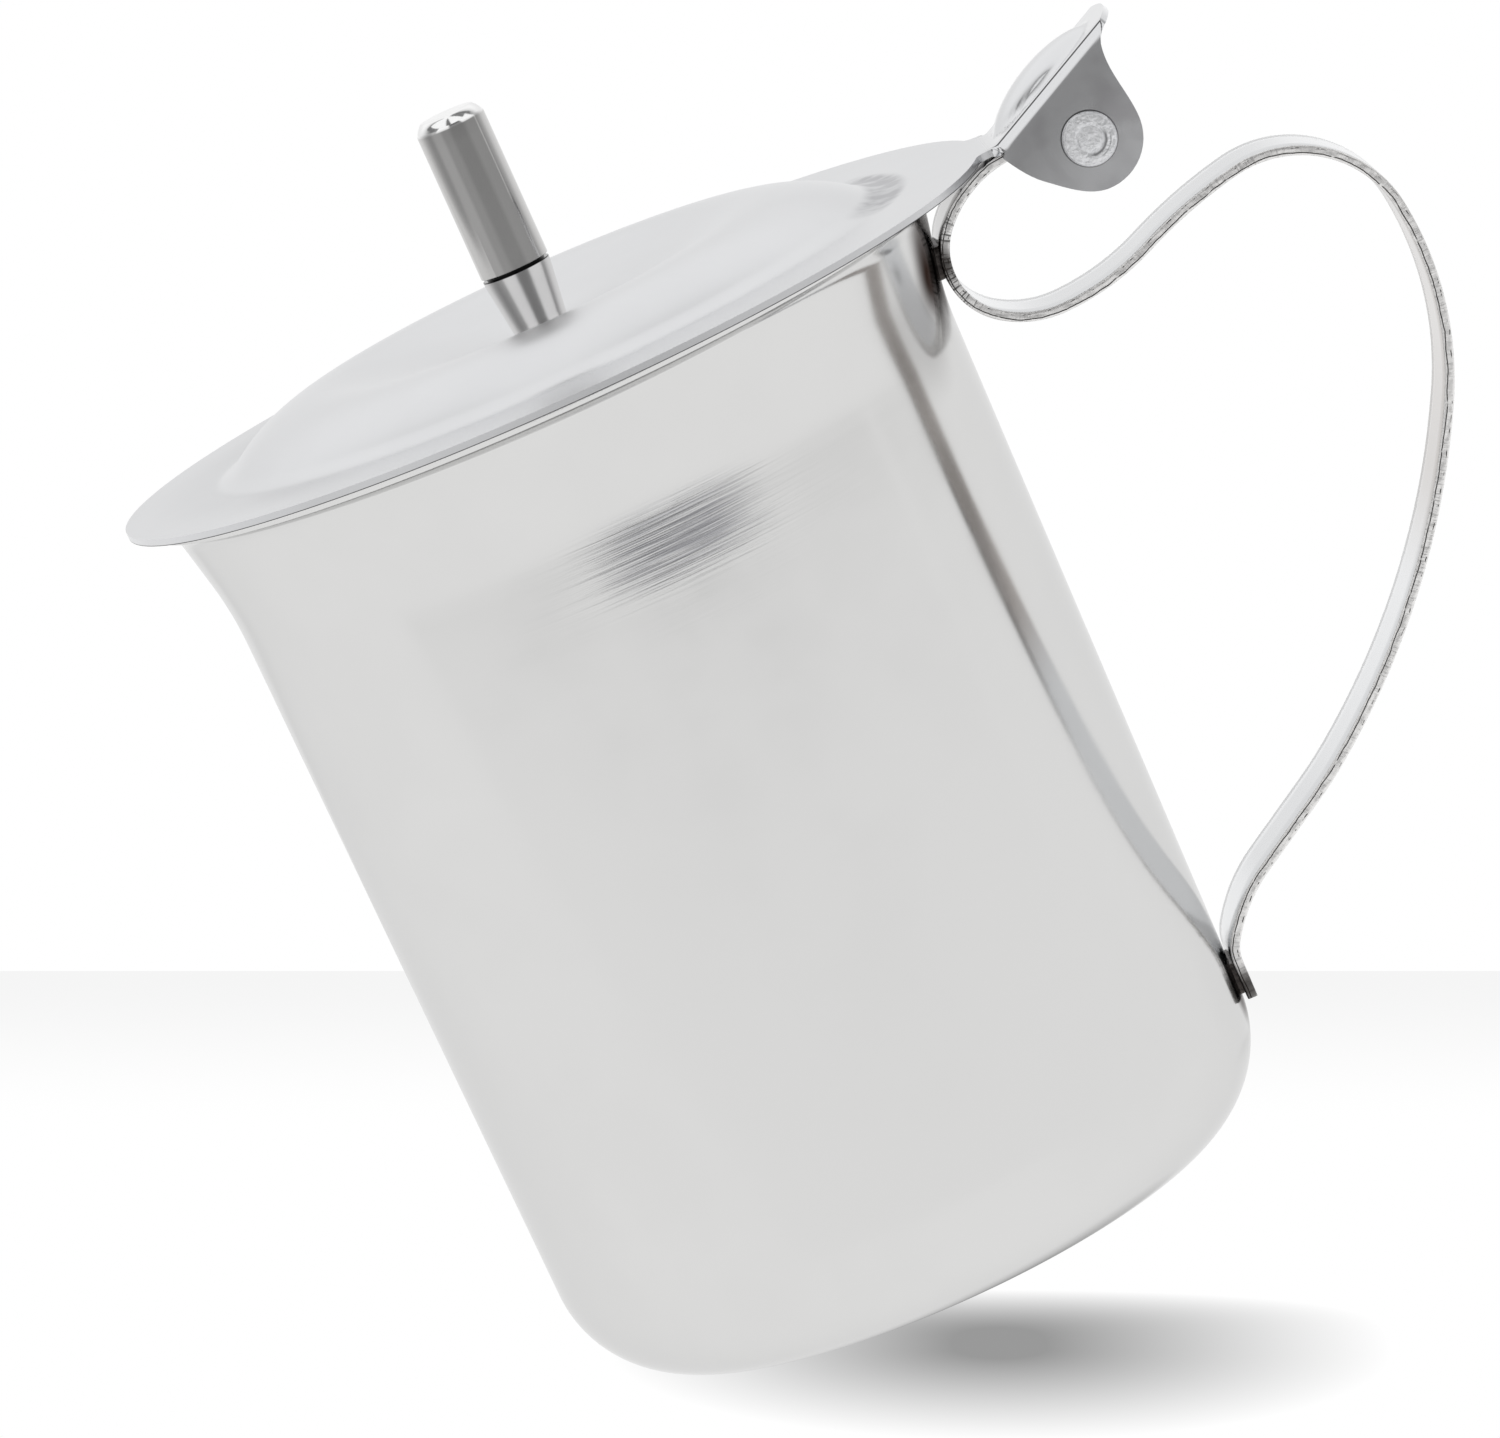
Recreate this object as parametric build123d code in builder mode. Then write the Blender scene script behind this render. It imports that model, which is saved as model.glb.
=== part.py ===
"""Creamer pitcher: a bell-mouthed steel cup, a strap handle and a hinged lid with a turned knob.

Millimetres, +Z up. The origin is the centre of the base, on the table. The pouring side
is -X, the handle side is +X, and Y = 0 is the plane of symmetry.
"""

import math
import os

from build123d import *

os.makedirs("parts", exist_ok=True)

# Cup
cup_height = 90.0
cup_wall_radius = 35.0
cup_sheet = 0.65
wall_draft = 0.9
base_corner_radius = 11.0
bell_radius = 32.0
bell_angle = 11.2
neck_rise = 4.2
flare_radius = 2.2
lip_rise = 8.0
lip_length = 0.5

# Lid, stamped from one sheet
lid_sheet = 0.65
lid_gap = 0.2
lid_shift = 1.2
brim_radius = 41.9
seat_radius = 2.95
seat_bend_radius = 8.0
dish_slope = 9.0
dish_run = 14.45
shoulder_radius = 16.0
dome_slope = 36.0
dome_foot_radius = 5.2

# Neck, thumb flag and hinge ears, folded from the tail of the lid
neck_reach = 44.05
neck_fillet = 1.6
flag_slope = 26.5
flag_bend_radius = 1.5
flag_length = 14.05
flag_tip_bow = 1.4
flag_edge_radius = 1.2
ear_gap = 0.55
ear_lobe_radius = 4.85
ear_bulge = (-5.2, -1.9)
ear_waist = (4.2, 5.9)
ear_start = 0.4
ear_neck_drop = 0.3

# Thumb bump pressed up in the flag
bump_centre = 6.6
bump_half_length = 7.4
bump_half_width = 5.1
bump_depth = 3.2
bump_height = 1.7

# Handle strap
strap_width = 10.0
strap_sheet = 0.9
strap_standoff = 0.18
eye_wrap = 280.0
strap_leave_angle = 4.6
# Bends from the hinge eye to the lower run: radius of the middle line, and turn in degrees
strap_bends = [
    (11.0, 43.6),
    (6.2, 96.1),
    (9.4, 36.2),
    (23.05, 22.9),
    (46.4, -12.7),
    (10.6, -92.7),
    (30.3, -35.4),
    (74.5, -26.3),
    (42.2, -5.5),
]
tail_bend = (15.5, 26.1)
heel_radius = 4.1
eye_clearance = 0.06

# Hinge pin, measured from the wall line and down from the mouth
pivot_reach = 17.4
pivot_drop = 1.9
rivet_radius = 1.5
rivet_head_radius = 2.5
rivet_head_height = 0.8
peen_ring_radius = 1.35
peen_ring_width = 0.35
peen_ring_depth = 0.15

# Strap contacts and welds
upper_touch_drop = 8.3
weld_margin = 1.0
weld_height = 3.0
weld_corner = 0.6
weld_gap = 0.02
tail_contact = 3.4

# Knob
knob_shift = 0.9
knob_radius = 3.25
grip_length = 15.2
grip_top_fillet = 0.9
joint_groove = 0.25
collar_height = 5.7
collar_foot_radius = 2.55
screw_radius = 1.5
screw_hole_clearance = 0.1
screw_seat_gap = 0.06
screw_depth = 6.0
screw_head_radius = 2.8
screw_head_height = 1.6
screw_slot_width = 0.8
screw_slot_depth = 0.8


def turn_run(radius, from_heading, to_heading):
    """Run along and across of an arc that turns between two headings, in degrees."""
    a, b = math.radians(from_heading), math.radians(to_heading)
    return radius * abs(math.sin(a) - math.sin(b)), radius * abs(math.cos(b) - math.cos(a))


# Cup outside, from the mouth down
wall_heading = 90.0 - wall_draft
bell_heading = wall_heading - bell_angle
bell_run, bell_rise = turn_run(bell_radius, wall_heading, bell_heading)
flare_run, flare_rise = turn_run(flare_radius, bell_heading, lip_rise)
corner_run, corner_rise = turn_run(base_corner_radius, 0, wall_heading)
lip_climb = lip_length * math.sin(math.radians(lip_rise))
lip_under = cup_height - cup_sheet * math.cos(math.radians(lip_rise))
wall_top = lip_under - lip_climb - flare_rise - neck_rise - bell_rise
wall_rise = wall_top - corner_rise
wall_lean = math.tan(math.radians(wall_draft))
base_flat_radius = cup_wall_radius - wall_rise * wall_lean - corner_run


def wall_x(z):
    """Outside radius of the straight wall at height z."""
    return cup_wall_radius - (wall_top - z) * wall_lean


def bell_touch(z, bend_radius, gap):
    """Innermost radius of an arc centred at z that lies against the bell, and the height of its touch."""
    centre_x = cup_wall_radius + bell_radius * math.sin(math.radians(wall_heading))
    centre_z = wall_top - bell_radius * math.cos(math.radians(wall_heading))
    apart = bell_radius - bend_radius - gap
    rise = (z - centre_z) / apart
    return centre_x - apart * math.sqrt(1 - rise**2) - bend_radius, z + bend_radius * rise


with BuildPart() as body_shell:
    with BuildSketch(Plane.XZ):
        with BuildLine():
            base = Line((0, 0), (base_flat_radius, 0))
            corner = JernArc(base @ 1, (1, 0), base_corner_radius, wall_heading)
            wall = PolarLine(corner @ 1, wall_rise, wall_heading, length_mode=LengthMode.VERTICAL)
            bell = JernArc(wall @ 1, wall % 1, bell_radius, -bell_angle)
            neck = PolarLine(bell @ 1, neck_rise, bell_heading, length_mode=LengthMode.VERTICAL)
            flare = JernArc(neck @ 1, neck % 1, flare_radius, lip_rise - bell_heading)
            PolarLine(flare @ 1, lip_length, lip_rise)
            offset(amount=cup_sheet, side=Side.LEFT)
        make_face()
    revolve(axis=Axis.Z)
body_shell.part.label = "body_shell"

# Everything inside the cup's outer surface, used to seat the welds
with BuildPart() as cup_envelope:
    with BuildSketch(Plane.XZ):
        with BuildLine():
            base = Line((0, 0), (base_flat_radius, 0))
            corner = JernArc(base @ 1, (1, 0), base_corner_radius, wall_heading)
            wall = PolarLine(corner @ 1, wall_rise, wall_heading, length_mode=LengthMode.VERTICAL)
            bell = JernArc(wall @ 1, wall % 1, bell_radius, -bell_angle)
            neck = PolarLine(bell @ 1, neck_rise, bell_heading, length_mode=LengthMode.VERTICAL)
            Polyline(neck @ 1, (0, (neck @ 1).Y), (0, 0))
        make_face()
    revolve(axis=Axis.Z)

# Pivot and strap
pivot_x = cup_wall_radius + pivot_reach
pivot_z = cup_height - pivot_drop
eye_radius = rivet_radius + eye_clearance + strap_sheet / 2
hang = strap_sheet / 2 + strap_standoff


def bend_shift(radius, heading, turn):
    """Shift along X and Z over a bend that starts at a heading and turns, in degrees."""
    a, b = math.radians(heading), math.radians(heading + turn)
    side = math.copysign(radius, turn)
    return Vector(side * (math.sin(b) - math.sin(a)), side * (math.cos(a) - math.cos(b)))


# The run out of the eye is as long as brings the loop against the wall
leave_heading = 180 + strap_leave_angle
leave_point = Vector(pivot_x, pivot_z) + Vector(eye_radius, 0).rotate(Axis.Z, leave_heading - 90)
(loop_radius, loop_turn), (wall_radius, _), *_ = strap_bends
loop_back_x, weld_z = bell_touch(cup_height - upper_touch_drop, wall_radius + strap_sheet / 2, strap_standoff)
upper_touch_x = loop_back_x + strap_sheet / 2
loop_shift = bend_shift(loop_radius, leave_heading, loop_turn)
wall_shift = bend_shift(wall_radius, leave_heading + loop_turn, 90 - strap_leave_angle - loop_turn)
run_out = upper_touch_x - leave_point.X - loop_shift.X - wall_shift.X
run_out /= math.cos(math.radians(leave_heading))
run_out_end = leave_point + Vector(run_out, 0).rotate(Axis.Z, leave_heading)
upper_touch = run_out_end + loop_shift + wall_shift

# The run in to the wall is as long as brings the heel bend against it
bends_end, run_heading = run_out_end, leave_heading
for radius, turn in strap_bends:
    bends_end += bend_shift(radius, run_heading, turn)
    run_heading += turn
wall_down = 180 + wall_heading
heel_heading = run_heading + tail_bend[1]
ahead = bends_end + bend_shift(tail_bend[0], run_heading, tail_bend[1])
ahead += bend_shift(heel_radius, heel_heading, wall_down - heel_heading)
run_slope = math.cos(math.radians(run_heading)) - wall_lean * math.sin(math.radians(run_heading))
run_in = (wall_x(ahead.Y) + hang - ahead.X) / run_slope

with BuildPart() as handle_strap:
    with BuildSketch(Plane.XZ):
        with BuildLine():
            eye = CenterArc((pivot_x, pivot_z), eye_radius, leave_heading - 90 - eye_wrap, eye_wrap)
            last = PolarLine(eye @ 1, run_out, leave_heading)
            for radius, turn in strap_bends:
                last = JernArc(last @ 1, last % 1, radius, turn)
            last = PolarLine(last @ 1, run_in, run_heading)
            last = JernArc(last @ 1, last % 1, *tail_bend)
            heel = JernArc(last @ 1, last % 1, heel_radius, wall_down - heel_heading)
            tail = PolarLine(heel @ 1, tail_contact, wall_down)
        trace(line_width=strap_sheet)
    extrude(amount=strap_width / 2, both=True)
handle_strap.part.label = "handle_strap"
lower_touch = heel @ 1

weld_width = strap_width - 2 * weld_margin

# Weld metal fills the space between the flat strap and the round wall
with BuildPart() as upper_weld:
    with BuildSketch(Plane.YZ.offset(upper_touch.X + hang / 2)):
        with Locations((0, weld_z)):
            RectangleRounded(weld_width, weld_height, weld_corner)
    extrude(amount=-2.5 * hang)
    with Locations((weld_gap, 0, 0)):
        add(cup_envelope.part, mode=Mode.SUBTRACT)
    with Locations((-weld_gap, 0, 0)):
        add(handle_strap.part, mode=Mode.SUBTRACT)
upper_weld.part.label = "upper_weld"

with BuildPart() as lower_weld:
    with BuildSketch(Plane.YZ.offset(lower_touch.X)):
        with Locations((0, lower_touch.Y - weld_height / 2)):
            RectangleRounded(weld_width, weld_height, weld_corner)
    extrude(amount=-2 * hang)
    with Locations((weld_gap, 0, 0)):
        add(cup_envelope.part, mode=Mode.SUBTRACT)
    with Locations((-weld_gap, 0, 0)):
        add(handle_strap.part, mode=Mode.SUBTRACT)
lower_weld.part.label = "lower_weld"

# Lid heights and widths
brim_under = cup_height + lid_gap
brim_top = brim_under + lid_sheet
seat_bend_run, seat_bend_rise = turn_run(seat_bend_radius, 0, dish_slope)
dish_rise = dish_run * math.tan(math.radians(dish_slope))
shoulder_run, shoulder_drop = turn_run(shoulder_radius, dish_slope, -dome_slope)
foot_run, foot_drop = turn_run(dome_foot_radius, dome_slope, 0)
dome_radius = seat_radius + seat_bend_run + dish_run + shoulder_run + foot_run
seat_top = brim_top + foot_drop + shoulder_drop - dish_rise - seat_bend_rise
flag_width = strap_width + 2 * (ear_gap + lid_sheet)

# Fold lines of the flag
bend_run, bend_rise = turn_run(flag_bend_radius, 0, flag_slope)
flag_foot = Vector(neck_reach + bend_run, 0, brim_top + bend_rise)
flag_along = Vector(math.cos(math.radians(flag_slope)), 0, math.sin(math.radians(flag_slope)))
flag_up = Vector(-flag_along.Z, 0, flag_along.X)
flag_top = Plane(origin=flag_foot, x_dir=flag_along, z_dir=flag_up)
flag_corner = flag_foot + flag_along * flag_length

# Folded channel of flag and ears, trimmed to the side outline
ear_root = (neck_reach + ear_start, brim_under - ear_neck_drop)
lobe_right = (pivot_x + ear_lobe_radius, pivot_z)
lobe_bottom = (pivot_x, pivot_z - ear_lobe_radius)
with BuildPart() as folded_flag:
    with BuildSketch(Plane(origin=flag_foot, x_dir=(0, 1, 0), z_dir=flag_along)) as channel:
        Rectangle(flag_width, 4 * ear_lobe_radius, align=(Align.CENTER, Align.MAX))
        fillet(channel.vertices().group_by(Axis.Z)[-1], flag_edge_radius)
        offset(amount=-lid_sheet, kind=Kind.INTERSECTION, mode=Mode.SUBTRACT)
        with Locations((0, -2 * ear_lobe_radius)):
            ear_spacing = flag_width - 2 * lid_sheet
            Rectangle(ear_spacing, 3 * ear_lobe_radius, align=(Align.CENTER, Align.MAX), mode=Mode.SUBTRACT)
    extrude(amount=flag_length, both=True)
    with BuildSketch(Plane.XZ):
        with BuildLine():
            lobe = CenterArc((pivot_x, pivot_z), ear_lobe_radius, -90, 90)
            Spline(
                lobe_right,
                (pivot_x + ear_waist[0], pivot_z + ear_waist[1]),
                (flag_corner.X, flag_corner.Z),
                tangents=[(0, 1), (0.35, 1)],
            )
            high = flag_corner + flag_up * flag_width
            Polyline((flag_corner.X, flag_corner.Z), (high.X, high.Z), (ear_root[0], high.Z), ear_root)
            Spline(
                ear_root,
                (pivot_x + ear_bulge[0], pivot_z + ear_bulge[1]),
                lobe_bottom,
                tangents=[(0.6, -1), (1, 0)],
            )
        make_face()
    extrude(amount=flag_width, both=True, mode=Mode.INTERSECT)

# Elongated bump pressed up in the flag, and its hollow underside
with BuildPart() as bump:
    Sphere(1)
    scale(by=(bump_half_length, bump_half_width, bump_depth))
    split(bisect_by=Plane.XY.offset(bump_depth - bump_height - lid_sheet))
with BuildPart() as bump_hollow:
    Sphere(1)
    scale(by=(bump_half_length - lid_sheet, bump_half_width - lid_sheet, bump_depth - lid_sheet))
bump_plane = Plane(
    origin=flag_foot + flag_along * bump_centre + flag_up * (bump_height - bump_depth),
    x_dir=flag_along,
    z_dir=flag_up,
)

with BuildPart() as lid:
    # Knob seat, dished crown, shoulder and brim
    with BuildSketch(Plane.XZ):
        with BuildLine():
            seat = Line((lid_shift, seat_top), (lid_shift + seat_radius, seat_top))
            seat_bend = JernArc(seat @ 1, (1, 0), seat_bend_radius, dish_slope)
            dish = PolarLine(seat_bend @ 1, dish_run, dish_slope, length_mode=LengthMode.HORIZONTAL)
            shoulder = JernArc(dish @ 1, dish % 1, shoulder_radius, -dish_slope - dome_slope)
            foot = JernArc(shoulder @ 1, shoulder % 1, dome_foot_radius, dome_slope)
            Line(foot @ 1, (lid_shift + brim_radius, brim_top))
            offset(amount=lid_sheet, side=Side.RIGHT)
        make_face()
    revolve(axis=Axis((lid_shift, 0, 0), (0, 0, 1)))
    # Neck, with hollow corners where it leaves the brim
    with BuildSketch(Plane.XY.offset(brim_under)) as neck:
        with Locations((lid_shift, 0)):
            Circle(brim_radius)
        Rectangle(neck_reach, flag_width, align=(Align.MIN, Align.CENTER))
        fillet(neck.vertices().filter_by_position(Axis.X, dome_radius, neck_reach - 0.1), neck_fillet)
        with Locations((lid_shift, 0)):
            Circle(dome_radius + lid_sheet, mode=Mode.SUBTRACT)
    extrude(amount=lid_sheet)
    # Bend from the neck up into the flag
    with BuildSketch(Plane.XZ):
        with BuildLine():
            bend = JernArc((neck_reach, brim_top), (1, 0), flag_bend_radius, flag_slope)
            PolarLine(bend @ 1, flag_length / 2, flag_slope)
            offset(amount=lid_sheet, side=Side.RIGHT)
        make_face()
    extrude(amount=flag_width / 2 - flag_edge_radius, both=True)
    add(folded_flag.part)
    # Bowed tip of the flag
    with BuildSketch(flag_top):
        with BuildLine():
            half_tip = flag_width / 2 - flag_edge_radius / 2
            tip_end = (flag_length + flag_tip_bow, 0)
            bow = ThreePointArc((flag_length, -half_tip), tip_end, (flag_length, half_tip))
            inner = flag_length - 2 * flag_tip_bow
            Polyline(bow @ 1, (inner, half_tip), (inner, -half_tip), bow @ 0)
        make_face()
    extrude(amount=-lid_sheet)
    with Locations(bump_plane):
        add(bump.part)
        add(bump_hollow.part, mode=Mode.SUBTRACT)
    # Rivet hole through both ears
    with Locations(Plane.XZ.offset(-flag_width).shift_origin((pivot_x, flag_width, pivot_z))):
        Cylinder(rivet_radius, 4 * flag_width, mode=Mode.SUBTRACT)
    # Screw hole in the seat
    with Locations((knob_shift, 0, seat_top)):
        Cylinder(screw_radius + screw_hole_clearance, 4 * lid_sheet, mode=Mode.SUBTRACT)
lid.part.label = "lid"

# Rivet: factory head at +Y, peened head at -Y
with BuildPart() as hinge_rivet:
    with BuildSketch(Plane.XZ):
        with Locations((pivot_x, pivot_z)):
            Circle(rivet_radius)
    extrude(amount=flag_width / 2, both=True)
    with BuildSketch(Plane.XZ.offset(flag_width / 2), Plane.XZ.offset(-flag_width / 2 - rivet_head_height)):
        with Locations((pivot_x, pivot_z)):
            Circle(rivet_head_radius)
    extrude(amount=rivet_head_height)
    fillet(hinge_rivet.edges().group_by(Axis.Y)[-1], rivet_head_height / 2)
    fillet(hinge_rivet.edges().group_by(Axis.Y)[0], rivet_head_height / 4)
    with BuildSketch(Plane.XZ.offset(flag_width / 2 + rivet_head_height)):
        with Locations((pivot_x, pivot_z)):
            Circle(peen_ring_radius)
            Circle(peen_ring_radius - peen_ring_width, mode=Mode.SUBTRACT)
    extrude(amount=-peen_ring_depth, mode=Mode.SUBTRACT)
hinge_rivet.part.label = "hinge_rivet"

# Knob, stacked on the seat in the crown
grip_bottom = seat_top + collar_height
with BuildPart() as knob_collar:
    with BuildSketch(Plane.XZ):
        with BuildLine():
            Polyline(
                (knob_shift + screw_radius + screw_hole_clearance, seat_top),
                (knob_shift + collar_foot_radius, seat_top),
                (knob_shift + knob_radius, grip_bottom - joint_groove),
                (knob_shift + knob_radius - joint_groove, grip_bottom),
                (knob_shift + screw_radius + screw_hole_clearance, grip_bottom),
                close=True,
            )
        make_face()
    revolve(axis=Axis((knob_shift, 0, 0), (0, 0, 1)))
knob_collar.part.label = "knob_collar"

with BuildPart() as knob_grip:
    with Locations((knob_shift, 0, grip_bottom)):
        Cylinder(knob_radius, grip_length, align=(Align.CENTER, Align.CENTER, Align.MIN))
        fillet(knob_grip.edges().group_by(Axis.Z)[-1], grip_top_fillet)
        chamfer(knob_grip.edges().group_by(Axis.Z)[0], joint_groove)
        Cylinder(screw_radius, 2 * screw_depth, mode=Mode.SUBTRACT)
knob_grip.part.label = "knob_grip"

screw_seat = seat_top - lid_sheet - screw_seat_gap
with BuildPart() as knob_screw:
    with Locations((knob_shift, 0, screw_seat)):
        screw_length = grip_bottom + screw_depth - screw_seat
        Cylinder(screw_radius, screw_length, align=(Align.CENTER, Align.CENTER, Align.MIN))
        Cylinder(screw_head_radius, screw_head_height, align=(Align.CENTER, Align.CENTER, Align.MAX))
    with Locations((knob_shift, 0, screw_seat - screw_head_height)):
        Box(3 * screw_head_radius, screw_slot_width, 2 * screw_slot_depth, mode=Mode.SUBTRACT)
knob_screw.part.label = "knob_screw"

export_step(body_shell.part, "parts/body_shell.step")
export_step(handle_strap.part, "parts/handle_strap.step")
export_step(upper_weld.part, "parts/upper_weld.step")
export_step(lower_weld.part, "parts/lower_weld.step")
export_step(lid.part, "parts/lid.step")
export_step(hinge_rivet.part, "parts/hinge_rivet.step")
export_step(knob_collar.part, "parts/knob_collar.step")
export_step(knob_grip.part, "parts/knob_grip.step")
export_step(knob_screw.part, "parts/knob_screw.step")
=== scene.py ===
"""Looks of the creamer pitcher: satin and mirror-bright sheet steel in a white studio.

Metres in the CAD frame. Sizes are written in millimetres and turned into metres once.
"""

import math

import bpy
import numpy as np
from mathutils import Matrix, Vector, noise


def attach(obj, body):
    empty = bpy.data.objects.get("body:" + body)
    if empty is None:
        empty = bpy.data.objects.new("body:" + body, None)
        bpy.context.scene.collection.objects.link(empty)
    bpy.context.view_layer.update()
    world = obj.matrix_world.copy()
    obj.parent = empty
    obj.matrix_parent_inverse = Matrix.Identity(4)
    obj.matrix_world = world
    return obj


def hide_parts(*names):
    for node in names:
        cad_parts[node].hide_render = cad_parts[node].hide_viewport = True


MM = 0.001

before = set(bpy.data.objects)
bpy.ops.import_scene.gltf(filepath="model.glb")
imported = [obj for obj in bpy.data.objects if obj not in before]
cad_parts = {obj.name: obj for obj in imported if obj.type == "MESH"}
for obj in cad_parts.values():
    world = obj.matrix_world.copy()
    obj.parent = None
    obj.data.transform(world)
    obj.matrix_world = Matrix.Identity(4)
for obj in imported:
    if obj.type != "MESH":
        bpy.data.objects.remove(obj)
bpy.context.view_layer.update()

# Cup, in millimetres and degrees
CUP_HEIGHT = 90.0
CUP_RADIUS = 35.0
CUP_SHEET = 0.65
WALL_DRAFT = 0.9
CORNER_RADIUS = 11.0
BELL_RADIUS = 32.0
BELL_ANGLE = 11.2
NECK_RISE = 4.2
FLARE_RADIUS = 2.2
LIP_RISE = 8.0
LIP_LENGTH = 0.5
LIP_SLANT = 0.15
LIP_ROUND = 0.12

# Lid: dished crown, dome and brim, then neck, thumb flag with its bump, and two folded ears
LID_SHEET = 0.65
LID_GAP = 0.2
LID_SHIFT = 1.2
BRIM_RADIUS = 41.9
SEAT_RADIUS = 2.95
SEAT_BEND = 8.0
DISH_SLOPE = 9.0
DISH_RUN = 14.45
SHOULDER_RADIUS = 16.0
DOME_SLOPE = 36.0
FOOT_RADIUS = 5.2
NECK_REACH = 44.05
NECK_FILLET = 1.6
FLAG_SLOPE = 26.5
FLAG_BEND = 1.5
FLAG_LENGTH = 14.05
FLAG_BOW = 1.4
FOLD_RADIUS = 1.2
EAR_GAP = 0.55
EAR_LEAN = 0.22
EAR_EASE = 1.8
LOBE_RADIUS = 4.85
EAR_BULGE = (-5.2, -1.9)
EAR_WAIST = (4.2, 5.9)
EAR_START = 0.4
EAR_DROP = 0.3
BUMP_CENTRE = 6.6
BUMP_HALF_LENGTH = 7.4
BUMP_HALF_WIDTH = 5.1
BUMP_DEPTH = 3.2
BUMP_HEIGHT = 1.7
BUMP_BLEND = 0.02
BUMP_CUT = -1.4
EAR_FROM = 1.25
LID_EDGE_ROUND = 0.1

# Handle strap, whose bends are (radius, turn) from the hinge eye to the tail
STRAP_WIDTH = 10.0
STRAP_SHEET = 0.9
STRAP_ROUND = 0.14
STRAP_STANDOFF = 0.18
EYE_WRAP = 280.0
STRAP_LEAVE = 4.6
STRAP_BENDS = [
    (11.0, 43.6),
    (6.2, 96.1),
    (9.4, 36.2),
    (23.05, 22.9),
    (46.4, -12.7),
    (10.6, -92.7),
    (30.3, -35.4),
    (74.5, -26.3),
    (42.2, -5.5),
]
TAIL_BEND = (15.5, 26.1)
HEEL_RADIUS = 4.1
TAIL_CONTACT = 3.4
TOUCH_DROP = 8.3
TEAR_DEPTH, TEAR_SHARE = 0.05, 0.45
COARSE_TEARS, FINE_TEARS = 1.7, 5.1
UPPER_WELD = (35.8, -4.5, 83.0)
LOWER_WELD = (34.6, -4.5, 11.5)

# Hinge rivet, peened on the near side
PIVOT = (CUP_RADIUS + 17.4, CUP_HEIGHT - 1.9)
RIVET_RADIUS = 1.5
EYE_CLEARANCE = 0.06
HEAD_RADIUS = 2.5
HEAD_HEIGHT = 0.8
HEAD_ROUND = 0.3
HEAD_BOW = 0.18
BACK_ROUND = 0.4
PEEN_RING, PEEN_WIDTH, PEEN_DEPTH = 1.2, 0.16, 0.13
PEEN_SINK = 0.01

# Knob: tapered collar and turned grip, whose top edge is arcs of (radius, from, to)
KNOB_SHIFT = 0.9
KNOB_RADIUS = 3.25
GRIP_LENGTH = 15.2
GRIP_EDGE = [(0.8, 0, 30), (2.6, 30, 50), (0.3, 50, 90)]
GROOVE = 0.25
SLOT = 0.13
SLOT_DEPTH = 0.45
SLOT_ROUND = 0.06
COLLAR_HEIGHT = 5.7
COLLAR_FOOT = 2.55
COLLAR_ROUND = 0.1
COLLAR_LIP = 0.04
COLLAR_END = 0.05
SCREW_HOLE = 1.6

# Fineness of the meshes
CUP_SEGMENTS, RIVET_SEGMENTS, KNOB_SEGMENTS = 320, 96, 128
STRAP_STEP = 0.3
BRIM_STEPS, BEND_STEPS, FLAG_STEPS, EAR_ROWS = 14, 6, 44, 12
FLAT_COLUMNS, FOLD_COLUMNS = 10, 8
ARC_PARTS = 8


def rad(angle):
    return math.radians(angle)


def heading(angle):
    return np.array([math.cos(rad(angle)), math.sin(rad(angle))])


def chain(start, at, moves, step, run):
    """Points (n, 2) and headings (n,) along straight runs, ("run", length), and bends, (radius, turn).

    A bend has a point every step degrees or less, and a run has one every run millimetres or less.
    """
    points, heads = [np.array(start, float)], [at]
    for kind, amount in moves:
        if kind == "run":
            parts = max(1, math.ceil(amount / run))
            for _ in range(parts):
                points.append(points[-1] + heading(at) * amount / parts)
                heads.append(at)
            continue
        parts = max(2, math.ceil(abs(amount) / step))
        side = math.copysign(90, amount)
        centre = points[-1] + heading(at + side) * kind
        for i in range(1, parts + 1):
            here = at + amount * i / parts
            points.append(centre - heading(here + side) * kind)
            heads.append(here)
        at += amount
    return np.array(points), np.array(heads)


def turn_run(radius, a, b):
    """Run and rise of an arc that turns between two headings."""
    run = radius * abs(math.sin(rad(a)) - math.sin(rad(b)))
    return run, radius * abs(math.cos(rad(b)) - math.cos(rad(a)))


# Meshes


def linked(name, mesh):
    obj = bpy.data.objects.new(name, mesh)
    bpy.context.scene.collection.objects.link(obj)
    return obj


def mesh_of(name, verts, faces):
    """A mesh from vertices in millimetres."""
    mesh = bpy.data.meshes.new(name)
    mesh.from_pydata([tuple(v) for v in np.asarray(verts) * MM], [], faces)
    mesh.validate()
    mesh.update()
    return mesh


def hand_over(obj, node, body):
    """Puts a finished piece in the place of its CAD node."""
    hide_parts(node)
    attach(obj, body)


def solid_piece(name, verts, faces, body, node, material, sharp):
    """A piece of solid steel, smooth except at edges that turn by more than sharp degrees."""
    mesh = mesh_of(name, verts, faces)
    obj = linked(name, mesh)
    mesh.materials.append(material)
    mesh.shade_smooth()
    mesh.set_sharp_from_angle(angle=rad(sharp))
    hand_over(obj, node, body)
    return obj


def face_normals(mesh):
    """Normals that follow the wide faces, so that narrow rounded edges don't shade them."""
    total = np.zeros((len(mesh.vertices), 3))
    for p in mesh.polygons:
        total[list(p.vertices)] += np.array(p.normal) * p.area**2
    total /= np.linalg.norm(total, axis=1)[:, None] + 1e-30
    mesh.normals_split_custom_set_from_vertices([tuple(n) for n in total])


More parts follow.
